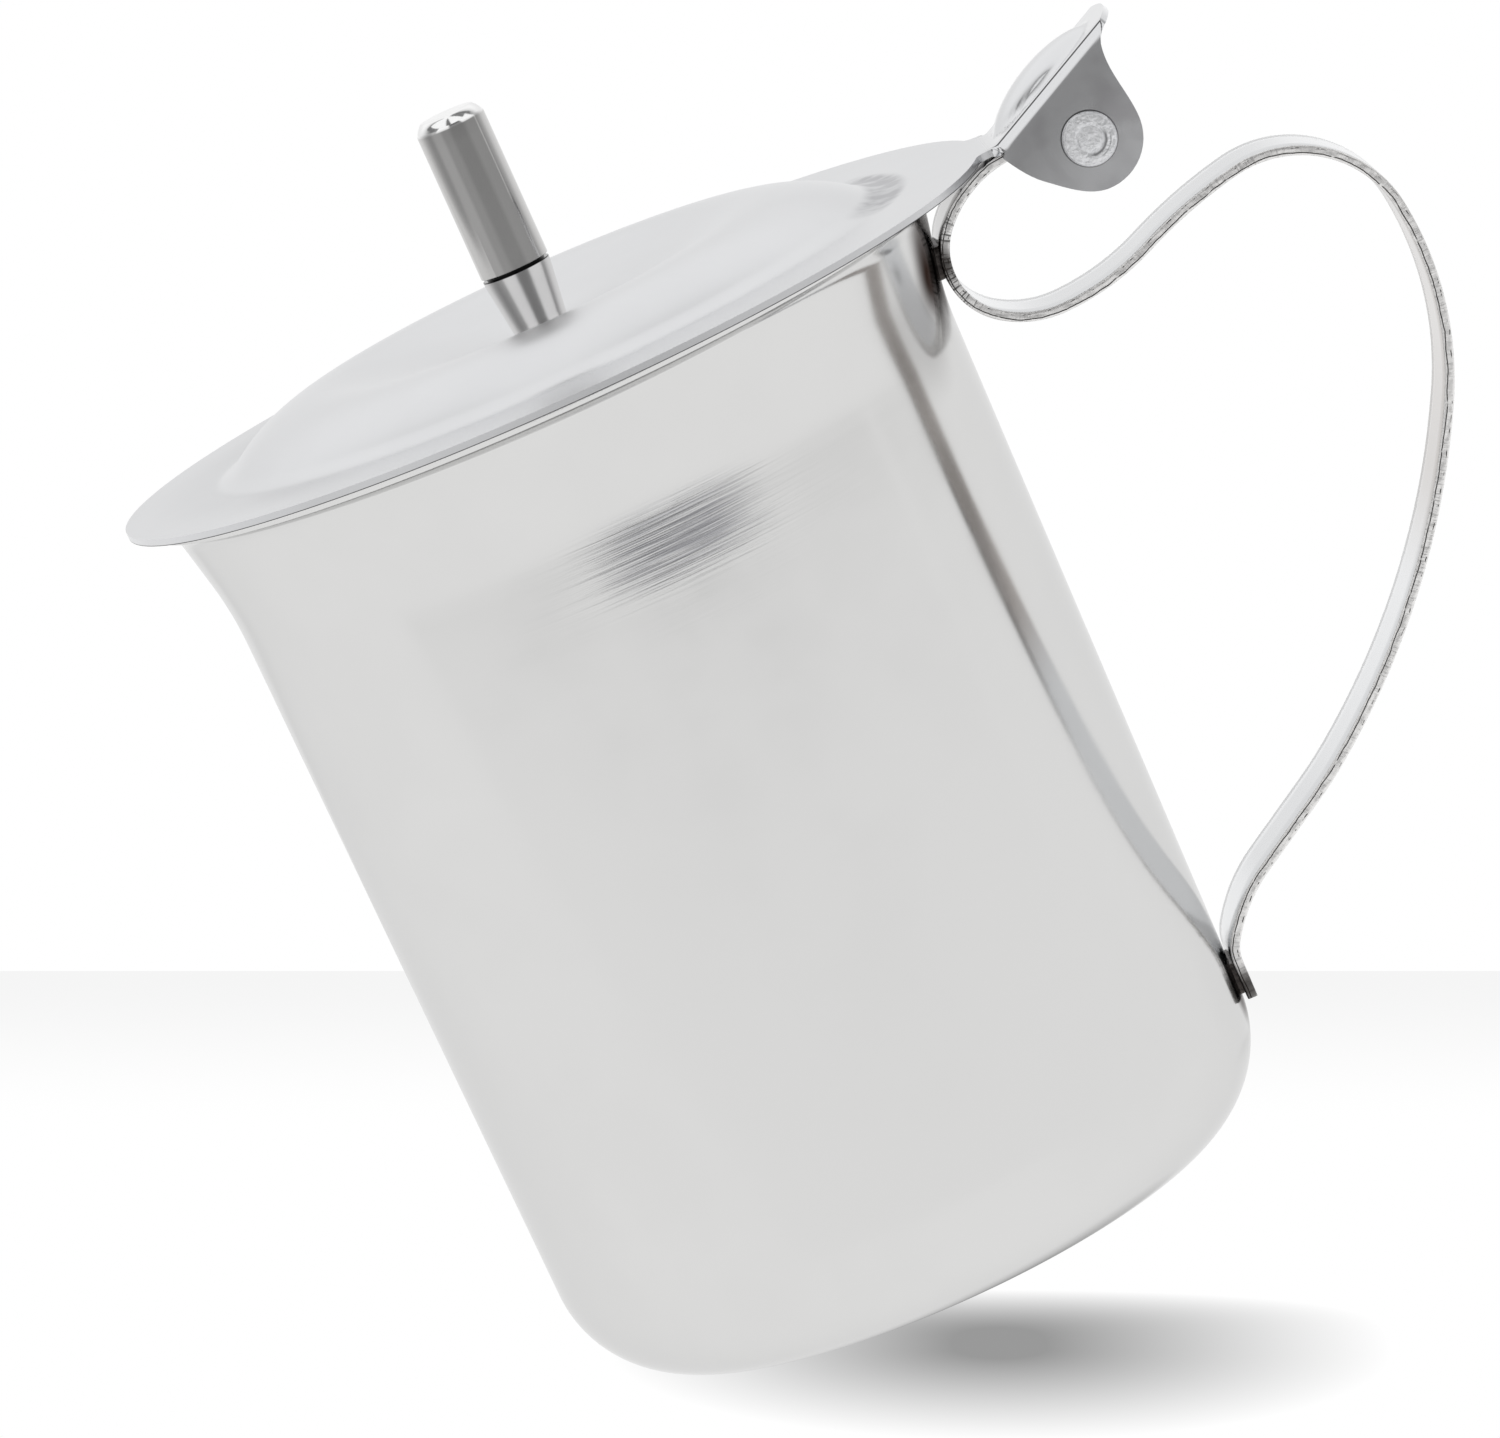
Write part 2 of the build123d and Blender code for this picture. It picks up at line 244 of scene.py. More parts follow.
def sheet_piece(name, verts, faces, thick, edge_round, body, node, material):
    """A sheet-metal piece from its outer skin: thickened inwards, with softened edges."""
    skin = linked(name + "_skin", mesh_of(name, verts, faces))
    solid = skin.modifiers.new("thick", "SOLIDIFY")
    solid.thickness = thick * MM
    solid.offset = -1
    solid.use_even_offset = True
    soft = skin.modifiers.new("soft", "BEVEL")
    soft.width = edge_round * MM
    soft.segments = 2
    soft.limit_method = "ANGLE"
    soft.angle_limit = rad(50)
    mesh = bpy.data.meshes.new_from_object(skin.evaluated_get(bpy.context.evaluated_depsgraph_get()))
    bpy.data.objects.remove(skin)
    mesh.name = name
    obj = linked(name, mesh)
    mesh.materials.clear()
    mesh.materials.append(material)
    mesh.shade_smooth()
    face_normals(mesh)
    hand_over(obj, node, body)
    return obj


def rings(profile, segments):
    """Points of a (radius, height) profile, turned about the axis."""
    a = np.arange(segments) * 2 * math.pi / segments
    r = profile[:, :1]
    turned = np.stack([r * np.cos(a), r * np.sin(a), np.repeat(profile[:, 1:], segments, 1)], 2)
    return turned.reshape(-1, 3)


def quads(here, ahead, segments):
    """Faces between two rings, from the numbers of their first vertices."""
    turned = [(k, (k + 1) % segments) for k in range(segments)]
    return [(here + k, here + k2, ahead + k2, ahead + k) for k, k2 in turned]


def lathe(profile, segments, put_down):
    """Vertices and faces of a closed turned solid, whose profile starts and ends on the axis."""
    profile = np.array(profile, float)
    count = len(profile) - 2
    verts = [(0, 0, profile[0, 1]), *rings(profile[1:-1], segments), (0, 0, profile[-1, 1])]
    last, last_ring = 1 + count * segments, 1 + (count - 1) * segments
    faces = []
    for k in range(segments):
        k2 = (k + 1) % segments
        faces.append((0, 1 + k2, 1 + k))
        faces.append((last, last_ring + k, last_ring + k2))
    for i in range(count - 1):
        faces += quads(1 + i * segments, 1 + (i + 1) * segments, segments)
    return np.array([put_down(v) for v in verts]), faces


def ring_lathe(profile, segments, put_down):
    """As lathe, for a closed profile that never meets the axis."""
    profile = np.array(profile, float)
    faces = []
    for i in range(len(profile)):
        faces += quads(i * segments, (i + 1) % len(profile) * segments, segments)
    return np.array([put_down(v) for v in rings(profile, segments)]), faces


# Materials


class Tree:
    """Short names for building a node tree. Its places are millimetres in the object's own frame."""

    def __init__(self, tree, clear=True):
        self.tree = tree
        if clear:
            tree.nodes.clear()

    def node(self, kind, inputs=None, **props):
        n = self.tree.nodes.new(kind)
        for k, v in props.items():
            setattr(n, k, v)
        for k, v in (inputs or {}).items():
            self.put(n.inputs[k], v)
        return n

    def put(self, socket, v):
        if isinstance(v, bpy.types.NodeSocket):
            self.tree.links.new(v, socket)
        else:
            socket.default_value = v

    def math(self, op, a, b=0.0, clamp=False):
        return self.node("ShaderNodeMath", {0: a, 1: b}, operation=op, use_clamp=clamp).outputs[0]

    def each(self, op, values):
        total = values[0]
        for v in values[1:]:
            total = self.math(op, total, v)
        return total

    def times(self, *values):
        return self.each("MULTIPLY", values)

    def plus(self, *values):
        return self.each("ADD", values)

    def most(self, *values):
        return self.each("MAXIMUM", values)

    def minus(self, a, b):
        return self.math("SUBTRACT", a, b)

    def over(self, a, b):
        return self.math("DIVIDE", a, b)

    def size(self, a):
        return self.math("ABSOLUTE", a)

    def length(self, a, b):
        return self.math("SQRT", self.plus(self.times(a, a), self.times(b, b)))

    def degrees(self, a):
        return self.times(a, 180 / math.pi)

    def ramp(self, x, a, b, lo=0.0, hi=1.0):
        """Smooth step from lo at a to hi at b."""
        n = self.node(
            "ShaderNodeMapRange",
            {"Value": x, "From Min": a, "From Max": b, "To Min": lo, "To Max": hi},
            interpolation_type="SMOOTHSTEP",
        )
        return n.outputs["Result"]

    def band(self, x, a, b, soft):
        """1 between a and b, with soft edges."""
        return self.times(self.ramp(x, a - soft, a + soft), self.ramp(x, b - soft, b + soft, 1.0, 0.0))

    def coordinates(self, kind="Object"):
        return self.node("ShaderNodeTexCoord").outputs[kind]

    def split(self, vector):
        n = self.node("ShaderNodeSeparateXYZ", {"Vector": vector})
        return [n.outputs[axis] for axis in "XYZ"]

    def place(self):
        return [self.over(c, MM) for c in self.split(self.coordinates())]

    def around(self, a, b, centre=(0.0, 0.0)):
        """Distance from a centre, and angle round it in degrees."""
        da, db = self.minus(a, centre[0]), self.minus(b, centre[1])
        return self.length(da, db), self.degrees(self.math("ARCTAN2", db, da))

    def near(self, spot, inner, outer):
        """1 within inner of a spot, 0 beyond outer."""
        ends = {0: self.coordinates(), 1: tuple(c * MM for c in spot)}
        away = self.node("ShaderNodeVectorMath", ends, operation="DISTANCE").outputs["Value"]
        return self.ramp(away, inner * MM, outer * MM, 1.0, 0.0)

    def noise(self, scale, detail=3.0, rough=0.55, shift=(0, 0, 0), where=None):
        """Noise in the object's own frame or in another vector, stretched by scale, per metre."""
        stretch = {"Vector": where or self.coordinates(), "Scale": scale, "Location": shift}
        vector = self.node("ShaderNodeMapping", stretch).outputs[0]
        inputs = {"Vector": vector, "Scale": 1.0, "Detail": detail, "Roughness": rough}
        return self.node("ShaderNodeTexNoise", inputs).outputs["Fac"]

    def bump(self, depth, height, normal=None):
        inputs = {"Strength": 1.0, "Distance": depth, "Height": height}
        if normal is not None:
            inputs["Normal"] = normal
        return self.node("ShaderNodeBump", inputs).outputs[0]

    def mix(self, f, a, b):
        n = self.node("ShaderNodeMix", {"Factor": f}, data_type="RGBA")
        self.put(n.inputs["A"], a)
        self.put(n.inputs["B"], b)
        return n.outputs["Result"]

    def grey(self, level):
        return self.node("ShaderNodeCombineColor", {0: level, 1: level, 2: level}).outputs[0]

    def blend(self, f, a, b):
        """Shader a where f is 0, and shader b where it is 1."""
        return self.node("ShaderNodeMixShader", {0: f, 1: a.outputs[0], 2: b.outputs[0]}).outputs[0]


def new_material(name):
    """A material, its emptied tree and its output node."""
    material = bpy.data.materials.new(name)
    material.use_nodes = True
    t = Tree(material.node_tree)
    return material, t, t.node("ShaderNodeOutputMaterial")


# Black of painted shade and painted reflections: in the gap under the brim, round the rivet's seat and along
# the folds
SHADE_BLACK = (0.03, 0.03, 0.032)
# Dark of heat tint round the welds and of painted shade on the cup, in colour and at grazing angles
HEAT_TINT_AND_SHADE = (0.05, 0.04, 0.036, 1)
HEAT_AND_SHADE_GLANCING = (0.27, 0.25, 0.245, 1)
WELD_BLACK = (0.04, 0.034, 0.03, 1)


def tint(material, marks):
    """Mixes colours into a steel. marks are functions of its tree that give a mask and its colour."""
    t = Tree(material.node_tree, clear=False)
    s = next(n for n in t.tree.nodes if n.type == "BSDF_PRINCIPLED")
    links = s.inputs["Base Color"].links
    shade = links[0].from_socket if links else tuple(s.inputs["Base Color"].default_value)
    for mark in marks:
        mask, colour = mark(t)
        shade = t.mix(mask, shade, (*colour, 1))
    t.put(s.inputs["Base Color"], shade)


def brush_lines(t, scales, patch):
    """Height of the fine lines. In a patch, (spot, inner, outer), they are much deeper than elsewhere."""
    lines = t.noise(scales, 3.0, 0.6)
    if not patch:
        return lines
    below, above, soft = 4.0, 3.6, 1.6
    middle = patch[0][2]
    tall = t.band(t.place()[2], middle - below, middle + above, soft)
    return t.times(lines, t.plus(0.2, t.times(tall, t.near(*patch), 1.9)))


def steel(
    name, colour, rough, blotch=0.0, rough_spread=0.0, brush=None, patch=None, wobble=0.0,
    polished=None, burnt_and_shaded=(), rim=1.0,
):
    """Bare steel.

    blotch and rough_spread are how far colour and roughness wander. brush is (scales per metre, depth in
    metres) of its fine lines, and patch is where they are deepest. wobble is the depth of slow waves, in
    metres. polished is (x from, x to, roughness): the roughness changes to that one between two places along
    X. burnt lists (spot, inner, outer, share) of darkened places: heat tint round the welds, and painted
    shade. rim is the tint at grazing angles.
    """
    material, t, out = new_material(name)
    s = t.node("ShaderNodeBsdfPrincipled", {"Metallic": 1.0, "Roughness": rough})
    t.put(out.inputs["Surface"], s.outputs[0])
    cloud = t.noise((90, 90, 90))
    shade, glancing = (*colour, 1), (rim, rim, rim, 1)
    if blotch:
        low = (*(c * (1 - blotch) for c in colour), 1)
        high = (*(min(1, c * (1 + blotch)) for c in colour), 1)
        shade = t.mix(t.ramp(cloud, 0.3, 0.7), low, high)
    # Heat tint and painted shade, mixed into the colour and the grazing tint
    for spot, inner, outer, share in burnt_and_shaded:
        mask = t.times(t.near(spot, inner, outer), share)
        shade = t.mix(mask, shade, HEAT_TINT_AND_SHADE)
        glancing = t.mix(mask, glancing, HEAT_AND_SHADE_GLANCING)
    t.put(s.inputs["Base Color"], shade)
    t.put(s.inputs["Specular Tint"], glancing)
    if rough_spread:
        t.put(s.inputs["Roughness"], t.ramp(cloud, 0.3, 0.7, rough - rough_spread, rough + rough_spread))
    if polished:
        start, end, smooth = polished
        t.put(s.inputs["Roughness"], t.ramp(t.place()[0], start, end, rough, smooth))
    normal = None
    if brush:
        scales, depth = brush
        normal = t.bump(depth, brush_lines(t, scales, patch))
    if wobble:
        normal = t.bump(wobble, t.noise((160, 160, 160), 1.0, 0.5, (3, 7, 1)), normal)
    if normal is not None:
        t.put(s.inputs["Normal"], normal)
    return material


def strap_steel():
    """Polished on the flat. The two long edges are sheared: burr lines on a bright, streaky middle."""
    material, t, out = new_material("strap")
    s = t.node("ShaderNodeBsdfPrincipled", {"Metallic": 1.0})
    t.put(out.inputs["Surface"], s.outputs[0])
    _, y, z = t.place()
    run = t.node("ShaderNodeUVMap", uv_map="run").outputs[0]
    across = t.over(t.split(run)[1], MM)
    half = STRAP_WIDTH / 2
    edge = t.ramp(t.size(y), half - 0.16, half - 0.09)

    def streaks(along, over, detail=2.0, shift=0.0):
        """Noise along the strap and across it."""
        return t.noise((along, over, 1), detail, 0.6, (shift, 0, 0), run)

    wandering = t.plus(across, t.times(t.minus(streaks(300, 0, 3.0), 0.5), 0.5))
    burr = t.ramp(t.size(t.plus(wandering, 0.2)), 0.025, 0.075, 1.0, 0.0)
    burr = t.times(burr, t.ramp(streaks(900, 300, 2.0, 4.0), 0.3, 0.42))
    second = t.ramp(t.size(t.minus(wandering, 0.24)), 0.02, 0.07, 1.0, 0.0)
    second = t.times(second, t.ramp(streaks(900, 0, 3.0, 9.0), 0.5, 0.6))
    patchy = t.times(t.ramp(streaks(60, 0, 2.0, 2.0), 0.42, 0.6), 0.35)
    comb = t.ramp(streaks(3200, 350, 2.0, 7.0), 0.5, 0.6)
    comb = t.times(comb, t.most(patchy, t.near(UPPER_WELD, 3.0, 7.0)))
    dark = t.most(burr, second, t.times(comb, 0.8))
    sheared = t.mix(dark, (0.88, 0.87, 0.86, 1), (0.04, 0.038, 0.036, 1))

    # The inner face, towards the cup, is painted darker from mid-height up and darkest high up near the loop:
    # painted shade
    inner = t.times(t.ramp(across, -0.3, -0.4), t.ramp(z, 38.0, 48.0))
    inner_shade = t.mix(t.ramp(z, 68.0, 74.0), (0.46, 0.43, 0.41, 1), (0.28, 0.27, 0.265, 1))
    flat = t.mix(inner, (0.7, 0.71, 0.725, 1), inner_shade)
    shade = t.mix(edge, flat, sheared)
    for spot in (UPPER_WELD, LOWER_WELD):
        shade = t.mix(t.times(t.near(spot, 0.6, 2.6), 0.9), shade, WELD_BLACK)
    t.put(s.inputs["Base Color"], shade)
    t.put(s.inputs["Roughness"], t.plus(0.13, t.times(edge, 0.2)))
    relief = t.times(t.minus(streaks(2200, 500, 2.0, 1.0), dark), edge)
    t.put(s.inputs["Normal"], t.bump(0.00003, relief))
    return material


# Dark spots on the cup: heat tint round both welds, and painted shade: the strap's reflected shadow round the
# upper weld, beside the loop and above the weld, and the loop's soft contact shade
BESIDE_WELD = (33.9, -10.0, 83.1)
OVER_WELD = (33.9, -10.3, 86.6)
LOOP_SHADE = (31.5, -16.5, 80.0)
CUP_HEAT_AND_SHADE = (
    (UPPER_WELD, 1.6, 5.5, 0.95),
    (LOWER_WELD, 1.2, 4.2, 0.85),
    (BESIDE_WELD, 0.8, 5.2, 0.92),
    (OVER_WELD, 0.8, 5.0, 0.7),
    (LOOP_SHADE, 2.0, 7.5, 0.22),
)
CUP_PATCH = ((5.0, -34.6, 75.0), 3.5, 15.0)
CUP = steel(
    "cup", (0.74, 0.738, 0.733), 0.13, blotch=0.01, rough_spread=0.02, brush=((60, 60, 3000), 0.000006),
    patch=CUP_PATCH, wobble=0.00001, burnt_and_shaded=CUP_HEAT_AND_SHADE, rim=0.87,
)
LID = steel("lid", (0.745, 0.75, 0.762), 0.3, blotch=0.01, wobble=0.00001, polished=(43.0, 45.5, 0.14))
STRAP = strap_steel()
WELD = steel("weld", (0.09, 0.08, 0.075), 0.4, brush=((900, 900, 900), 0.0002))
RIVET = steel("rivet", (0.8, 0.805, 0.82), 0.4, blotch=0.05, brush=((1500, 1500, 1500), 0.0003))
COLLAR = steel("collar", (0.8, 0.79, 0.78), 0.06)
GRIP = steel("grip", (0.55, 0.545, 0.54), 0.11, blotch=0.02, brush=((4000, 4000, 200), 0.000002))
SCREW = steel("screw", (0.6, 0.6, 0.6), 0.3)

# Cup

wall_heading = 90 - WALL_DRAFT
bell_heading = wall_heading - BELL_ANGLE
bell_rise = turn_run(BELL_RADIUS, wall_heading, bell_heading)[1]
flare_rise = turn_run(FLARE_RADIUS, bell_heading, LIP_RISE)[1]
corner_run, corner_rise = turn_run(CORNER_RADIUS, 0, wall_heading)
lip_under = CUP_HEIGHT - CUP_SHEET * math.cos(rad(LIP_RISE))
wall_top = lip_under - LIP_LENGTH * math.sin(rad(LIP_RISE)) - flare_rise - NECK_RISE - bell_rise
wall_rise = wall_top - corner_rise
wall_lean = math.tan(rad(WALL_DRAFT))
base_flat = CUP_RADIUS - wall_rise * wall_lean - corner_run

outside, heads = chain(
    (0, 0),
    0,
    [
        ("run", base_flat),
        (CORNER_RADIUS, wall_heading),
        ("run", wall_rise / math.sin(rad(wall_heading))),
        (BELL_RADIUS, -BELL_ANGLE),
        ("run", NECK_RISE / math.sin(rad(bell_heading))),
        (FLARE_RADIUS, LIP_RISE - bell_heading),
        ("run", LIP_LENGTH),
    ],
    1.5,
    1.5,
)
left = np.stack([-np.sin(np.radians(heads)), np.cos(np.radians(heads))], 1)
inside = outside + left * CUP_SHEET


def rounded_end(p, q, along, r, parts=4):
    """Points round the end of a sheet from p to q, both already set back by r along the sheet."""
    across = (q - p) / np.linalg.norm(q - p)
    quarter = [math.pi / 2 * i / parts for i in range(parts + 1)]
    near_corner = [p + across * r * (1 - math.cos(a)) + along * r * math.sin(a) for a in quarter]
    far_corner = [q - across * r * (1 - math.sin(a)) + along * r * math.cos(a) for a in quarter]
    return near_corner + far_corner


lip_along = heading(LIP_RISE)
lip_p = outside[-1] - lip_along * (LIP_ROUND + LIP_SLANT)
lip_q = inside[-1] - lip_along * LIP_ROUND
cup_profile = [*outside[:-1], *rounded_end(lip_p, lip_q, lip_along, LIP_ROUND), *inside[:-1][::-1]]
cup_profile[-1] = np.array([0, CUP_SHEET])
verts, faces = lathe(cup_profile, CUP_SEGMENTS, tuple)
solid_piece("cup", verts, faces, "pitcher", "body_shell", CUP, 35)

# Handle strap

leave_heading = 180 + STRAP_LEAVE
eye_radius = RIVET_RADIUS + EYE_CLEARANCE + STRAP_SHEET / 2
hang = STRAP_SHEET / 2 + STRAP_STANDOFF
pivot = np.array(PIVOT)


def bell_touch_x(z, bend_radius, gap):
    """Innermost radius of an arc centred at z that lies against the bell."""
    centre = np.array([CUP_RADIUS, wall_top]) + heading(wall_heading - 90) * BELL_RADIUS
    apart = BELL_RADIUS - bend_radius - gap
    return centre[0] - math.sqrt(apart**2 - (z - centre[1]) ** 2) - bend_radius


def bend_shift(radius, at, turn):
    """From the start of an arc to its end, for an arc that starts at a heading and turns."""
    side = math.copysign(radius, turn)
    a, b = rad(at), rad(at + turn)
    return np.array([side * (math.sin(b) - math.sin(a)), side * (math.cos(a) - math.cos(b))])


(first_radius, first_turn), (loop_radius, _) = STRAP_BENDS[:2]
leave_point = pivot + heading(leave_heading - 90) * eye_radius
loop_outside = loop_radius + STRAP_SHEET / 2
touch_x = bell_touch_x(CUP_HEIGHT - TOUCH_DROP, loop_outside, STRAP_STANDOFF) + STRAP_SHEET / 2
loop_shift = bend_shift(first_radius, leave_heading, first_turn)
wall_shift = bend_shift(loop_radius, leave_heading + first_turn, 90 - STRAP_LEAVE - first_turn)
run_out = (touch_x - leave_point[0] - loop_shift[0] - wall_shift[0]) / math.cos(rad(leave_heading))
end, at = leave_point + heading(leave_heading) * run_out, leave_heading
for radius, turn in STRAP_BENDS:
    end = end + bend_shift(radius, at, turn)
    at += turn
down = 180 + wall_heading
heel = at + TAIL_BEND[1]
ahead = end + bend_shift(TAIL_BEND[0], at, TAIL_BEND[1]) + bend_shift(HEEL_RADIUS, heel, down - heel)
slope = math.cos(rad(at)) - wall_lean * math.sin(rad(at))
run_in = (CUP_RADIUS - (wall_top - ahead[1]) * wall_lean + hang - ahead[0]) / slope

eye_start = leave_heading - 90 - EYE_WRAP
path, path_heads = chain(
    pivot + heading(eye_start) * eye_radius,
    eye_start + 90,
    [
        (eye_radius, EYE_WRAP),
        ("run", run_out),
        *STRAP_BENDS,
        ("run", run_in),
        TAIL_BEND,
        (HEEL_RADIUS, down - heel),
        ("run", TAIL_CONTACT),
    ],
    1.5,
    0.4,
)


def resample(points, heads, step):
    """Even stations along a path: distances, points and headings."""
    d = np.r_[0, np.cumsum(np.linalg.norm(np.diff(points, axis=0), axis=1))]
    s = np.linspace(0, d[-1], int(d[-1] / step) + 1)
    return s, np.stack([np.interp(s, d, points[:, k]) for k in (0, 1)], 1), np.interp(s, d, heads)


def strap_section():
    """The strap's cross-section as (across, outwards): a flat bar with rounded corners."""
    half, thick, r = STRAP_WIDTH / 2, STRAP_SHEET / 2, STRAP_ROUND
    corners = []
    for side_y, side_n, start in ((1, 1, 0), (-1, 1, 90), (-1, -1, 180), (1, -1, 270)):
        turns = [rad(start + 30 * i) for i in range(4)]
        centre_y, centre_n = side_y * (half - r), side_n * (thick - r)
        corners.append([(centre_y + r * math.cos(a), centre_n + r * math.sin(a)) for a in turns])
    section = []
    for corner, following in zip(corners, corners[1:] + corners[:1]):
        p, q = corner[-1], following[0]
        section += corner
        section += [(p[0] + (q[0] - p[0]) * k / 4, p[1] + (q[1] - p[1]) * k / 4) for k in (1, 2, 3)]
    return section


def tear(s, y, n):
    """How far the sheared edge is torn in, at a distance along the strap and a place of its section."""
    coarse = noise.noise(Vector((s * COARSE_TEARS, n * 3 + y, 5.0)))
    fine = 0.5 * noise.noise(Vector((s * FINE_TEARS, n * 9, y)))
    return TEAR_DEPTH * max(0.0, coarse + fine + TEAR_SHARE)


def strap_mesh():
    """The flat bar bent along its path, and for each vertex its (distance along, place across)."""
    distances, points, heads = resample(path, path_heads, STRAP_STEP)
    section = strap_section()
    count = len(section)
    edge_from = STRAP_WIDTH / 2 - 1.01 * STRAP_ROUND
    verts, along = [], []
    for s, point, head in zip(distances, points, heads):
        up = np.array([-math.sin(rad(head)), math.cos(rad(head))])
        for y, n in section:
            if abs(y) > edge_from:
                y = y - math.copysign(tear(s, y, n), y)
            p = point + up * n
            verts.append((p[0], y, p[1]))
            along.append((s * MM, n * MM))
    faces = []
    for i in range(len(points) - 1):
        faces += quads(i * count, (i + 1) * count, count)
    faces.append(tuple(range(count))[::-1])
    faces.append(tuple((len(points) - 1) * count + j for j in range(count)))
    return verts, faces, along


verts, faces, along = strap_mesh()
strap = solid_piece("strap", verts, faces, "pitcher", "handle_strap", STRAP, 50)
run_map = strap.data.uv_layers.new(name="run")
for loop in strap.data.loops:
    run_map.data[loop.index].uv = along[loop.vertex_index]

# Lid

brim_under = CUP_HEIGHT + LID_GAP
brim_top = brim_under + LID_SHEET
seat_bend_rise = turn_run(SEAT_BEND, 0, DISH_SLOPE)[1]
shoulder_drop = turn_run(SHOULDER_RADIUS, DISH_SLOPE, -DOME_SLOPE)[1]
foot_drop = turn_run(FOOT_RADIUS, DOME_SLOPE, 0)[1]
seat_top = brim_top + foot_drop + shoulder_drop - DISH_RUN * math.tan(rad(DISH_SLOPE)) - seat_bend_rise
flag_half = STRAP_WIDTH / 2 + EAR_GAP + LID_SHEET

dome, _ = chain(
    (0, seat_top),
    0,
    [
        ("run", SEAT_RADIUS),
        (SEAT_BEND, DISH_SLOPE),
        ("run", DISH_RUN / math.cos(rad(DISH_SLOPE))),
        (SHOULDER_RADIUS, -DISH_SLOPE - DOME_SLOPE),
        (FOOT_RADIUS, DOME_SLOPE),
    ],
    1.5,
    0.8,
)
dome_radius = dome[-1, 0]

flag_foot = np.array([NECK_REACH, brim_top]) + bend_shift(FLAG_BEND, 0, FLAG_SLOPE)
flag_along = heading(FLAG_SLOPE)
flag_up = np.array([-flag_along[1], flag_along[0]])


def hermite(p, q, a, b, count):
    """A smooth curve from p to q with end slopes a and b."""
    t = np.linspace(0, 1, count)[:, None]
    h = (2 * t**3 - 3 * t**2 + 1, t**3 - 2 * t**2 + t, -2 * t**3 + 3 * t**2, t**3 - t**2)
    return h[0] * p + h[1] * a + h[2] * q + h[3] * b


def through(points, first, last, count=24):
    """A smooth curve through three points, with end directions first and last."""
    p, q, r = [np.array(x, float) for x in points]
    near_span, far_span = np.linalg.norm(q - p), np.linalg.norm(r - q)
    middle = (r - p) / np.linalg.norm(r - p)
    start = np.array(first) / np.linalg.norm(first) * near_span
    end = np.array(last) / np.linalg.norm(last) * far_span
    second = hermite(q, r, middle * far_span, end, count)
    return np.r_[hermite(p, q, start, middle * near_span, count), second[1:]]


def to_flag(p):
    """Side-view point as (distance along the flag, depth below its top)."""
    d = np.asarray(p) - flag_foot
    return np.stack([d @ flag_along, -(d @ flag_up)], -1)


ear_root = (NECK_REACH + EAR_START, brim_under - EAR_DROP)
flag_corner = flag_foot + flag_along * FLAG_LENGTH
left_edge = through([ear_root, pivot + EAR_BULGE, pivot + (0, -LOBE_RADIUS)], (0.6, -1), (1, 0))
lobe = np.array([pivot + heading(a) * LOBE_RADIUS for a in range(-90, 1, 5)])
right_edge = through([pivot + (LOBE_RADIUS, 0), pivot + EAR_WAIST, flag_corner], (0, 1), (0.35, 1))
outline = to_flag(np.r_[left_edge, lobe[1:], right_edge[1:]])
tip = outline[len(left_edge) + len(lobe) - 2:]
tip = tip[np.argsort(tip[:, 1])]

# Half of the flag's columns, from the middle out, and the corner where the neck starts
flat_half = flag_half - FOLD_RADIUS
fold_turn = 90 - math.degrees(math.atan(EAR_LEAN / EAR_EASE))
cross = [*np.linspace(0, flat_half, FLAT_COLUMNS + 1)]
cross += [flat_half + FOLD_RADIUS * k / FOLD_COLUMNS for k in range(1, FOLD_COLUMNS + 1)]
columns = range(1 - len(cross), len(cross))
neck_far = NECK_REACH - LID_SHIFT
corner_angle = math.atan2(flag_half, neck_far)


def neck_edge():
    """Side outline of the neck, from its corner to the brim circle, as angles and radii."""
    cy = flag_half + NECK_FILLET
    cx = math.sqrt((BRIM_RADIUS + NECK_FILLET) ** 2 - cy**2)
    touch = math.atan2(cy, cx)
    edge = []
    for a in np.linspace(rad(-90), touch - math.pi, 8):
        x, y = cx + NECK_FILLET * math.cos(a), cy + NECK_FILLET * math.sin(a)
        edge.append((math.atan2(y, x), math.hypot(x, y)))
    if edge[0][1] * math.cos(edge[0][0]) < neck_far:
        edge.insert(0, (corner_angle, math.hypot(neck_far, flag_half)))
    return zip(*edge)


edge_angles, edge_radii = neck_edge()


def brim_reach(angle):
    """How far the brim, or the neck in front of it, reaches at an angle round the lid."""
    a = abs(angle)
    if a <= corner_angle + 1e-9:
        return neck_far / math.cos(angle)
    return float(np.interp(a, edge_angles, edge_radii)) if a < edge_angles[-1] else BRIM_RADIUS


def lid_angles():
    """Angles of the lid's polar grid, with one for each column of the flag, and the flag's first one."""
    inner = [math.atan2(y, neck_far) for y in cross]
    middle = edge_angles[1:] if edge_angles[0] <= corner_angle + 1e-9 else edge_angles
    half = [*inner, *middle, *np.linspace(edge_angles[-1], math.pi, 150)[1:]]
    both = [*[-a for a in half[1:-1]], *half]
    return sorted(set(round(a, 9) for a in both)), round(-inner[-1], 9)


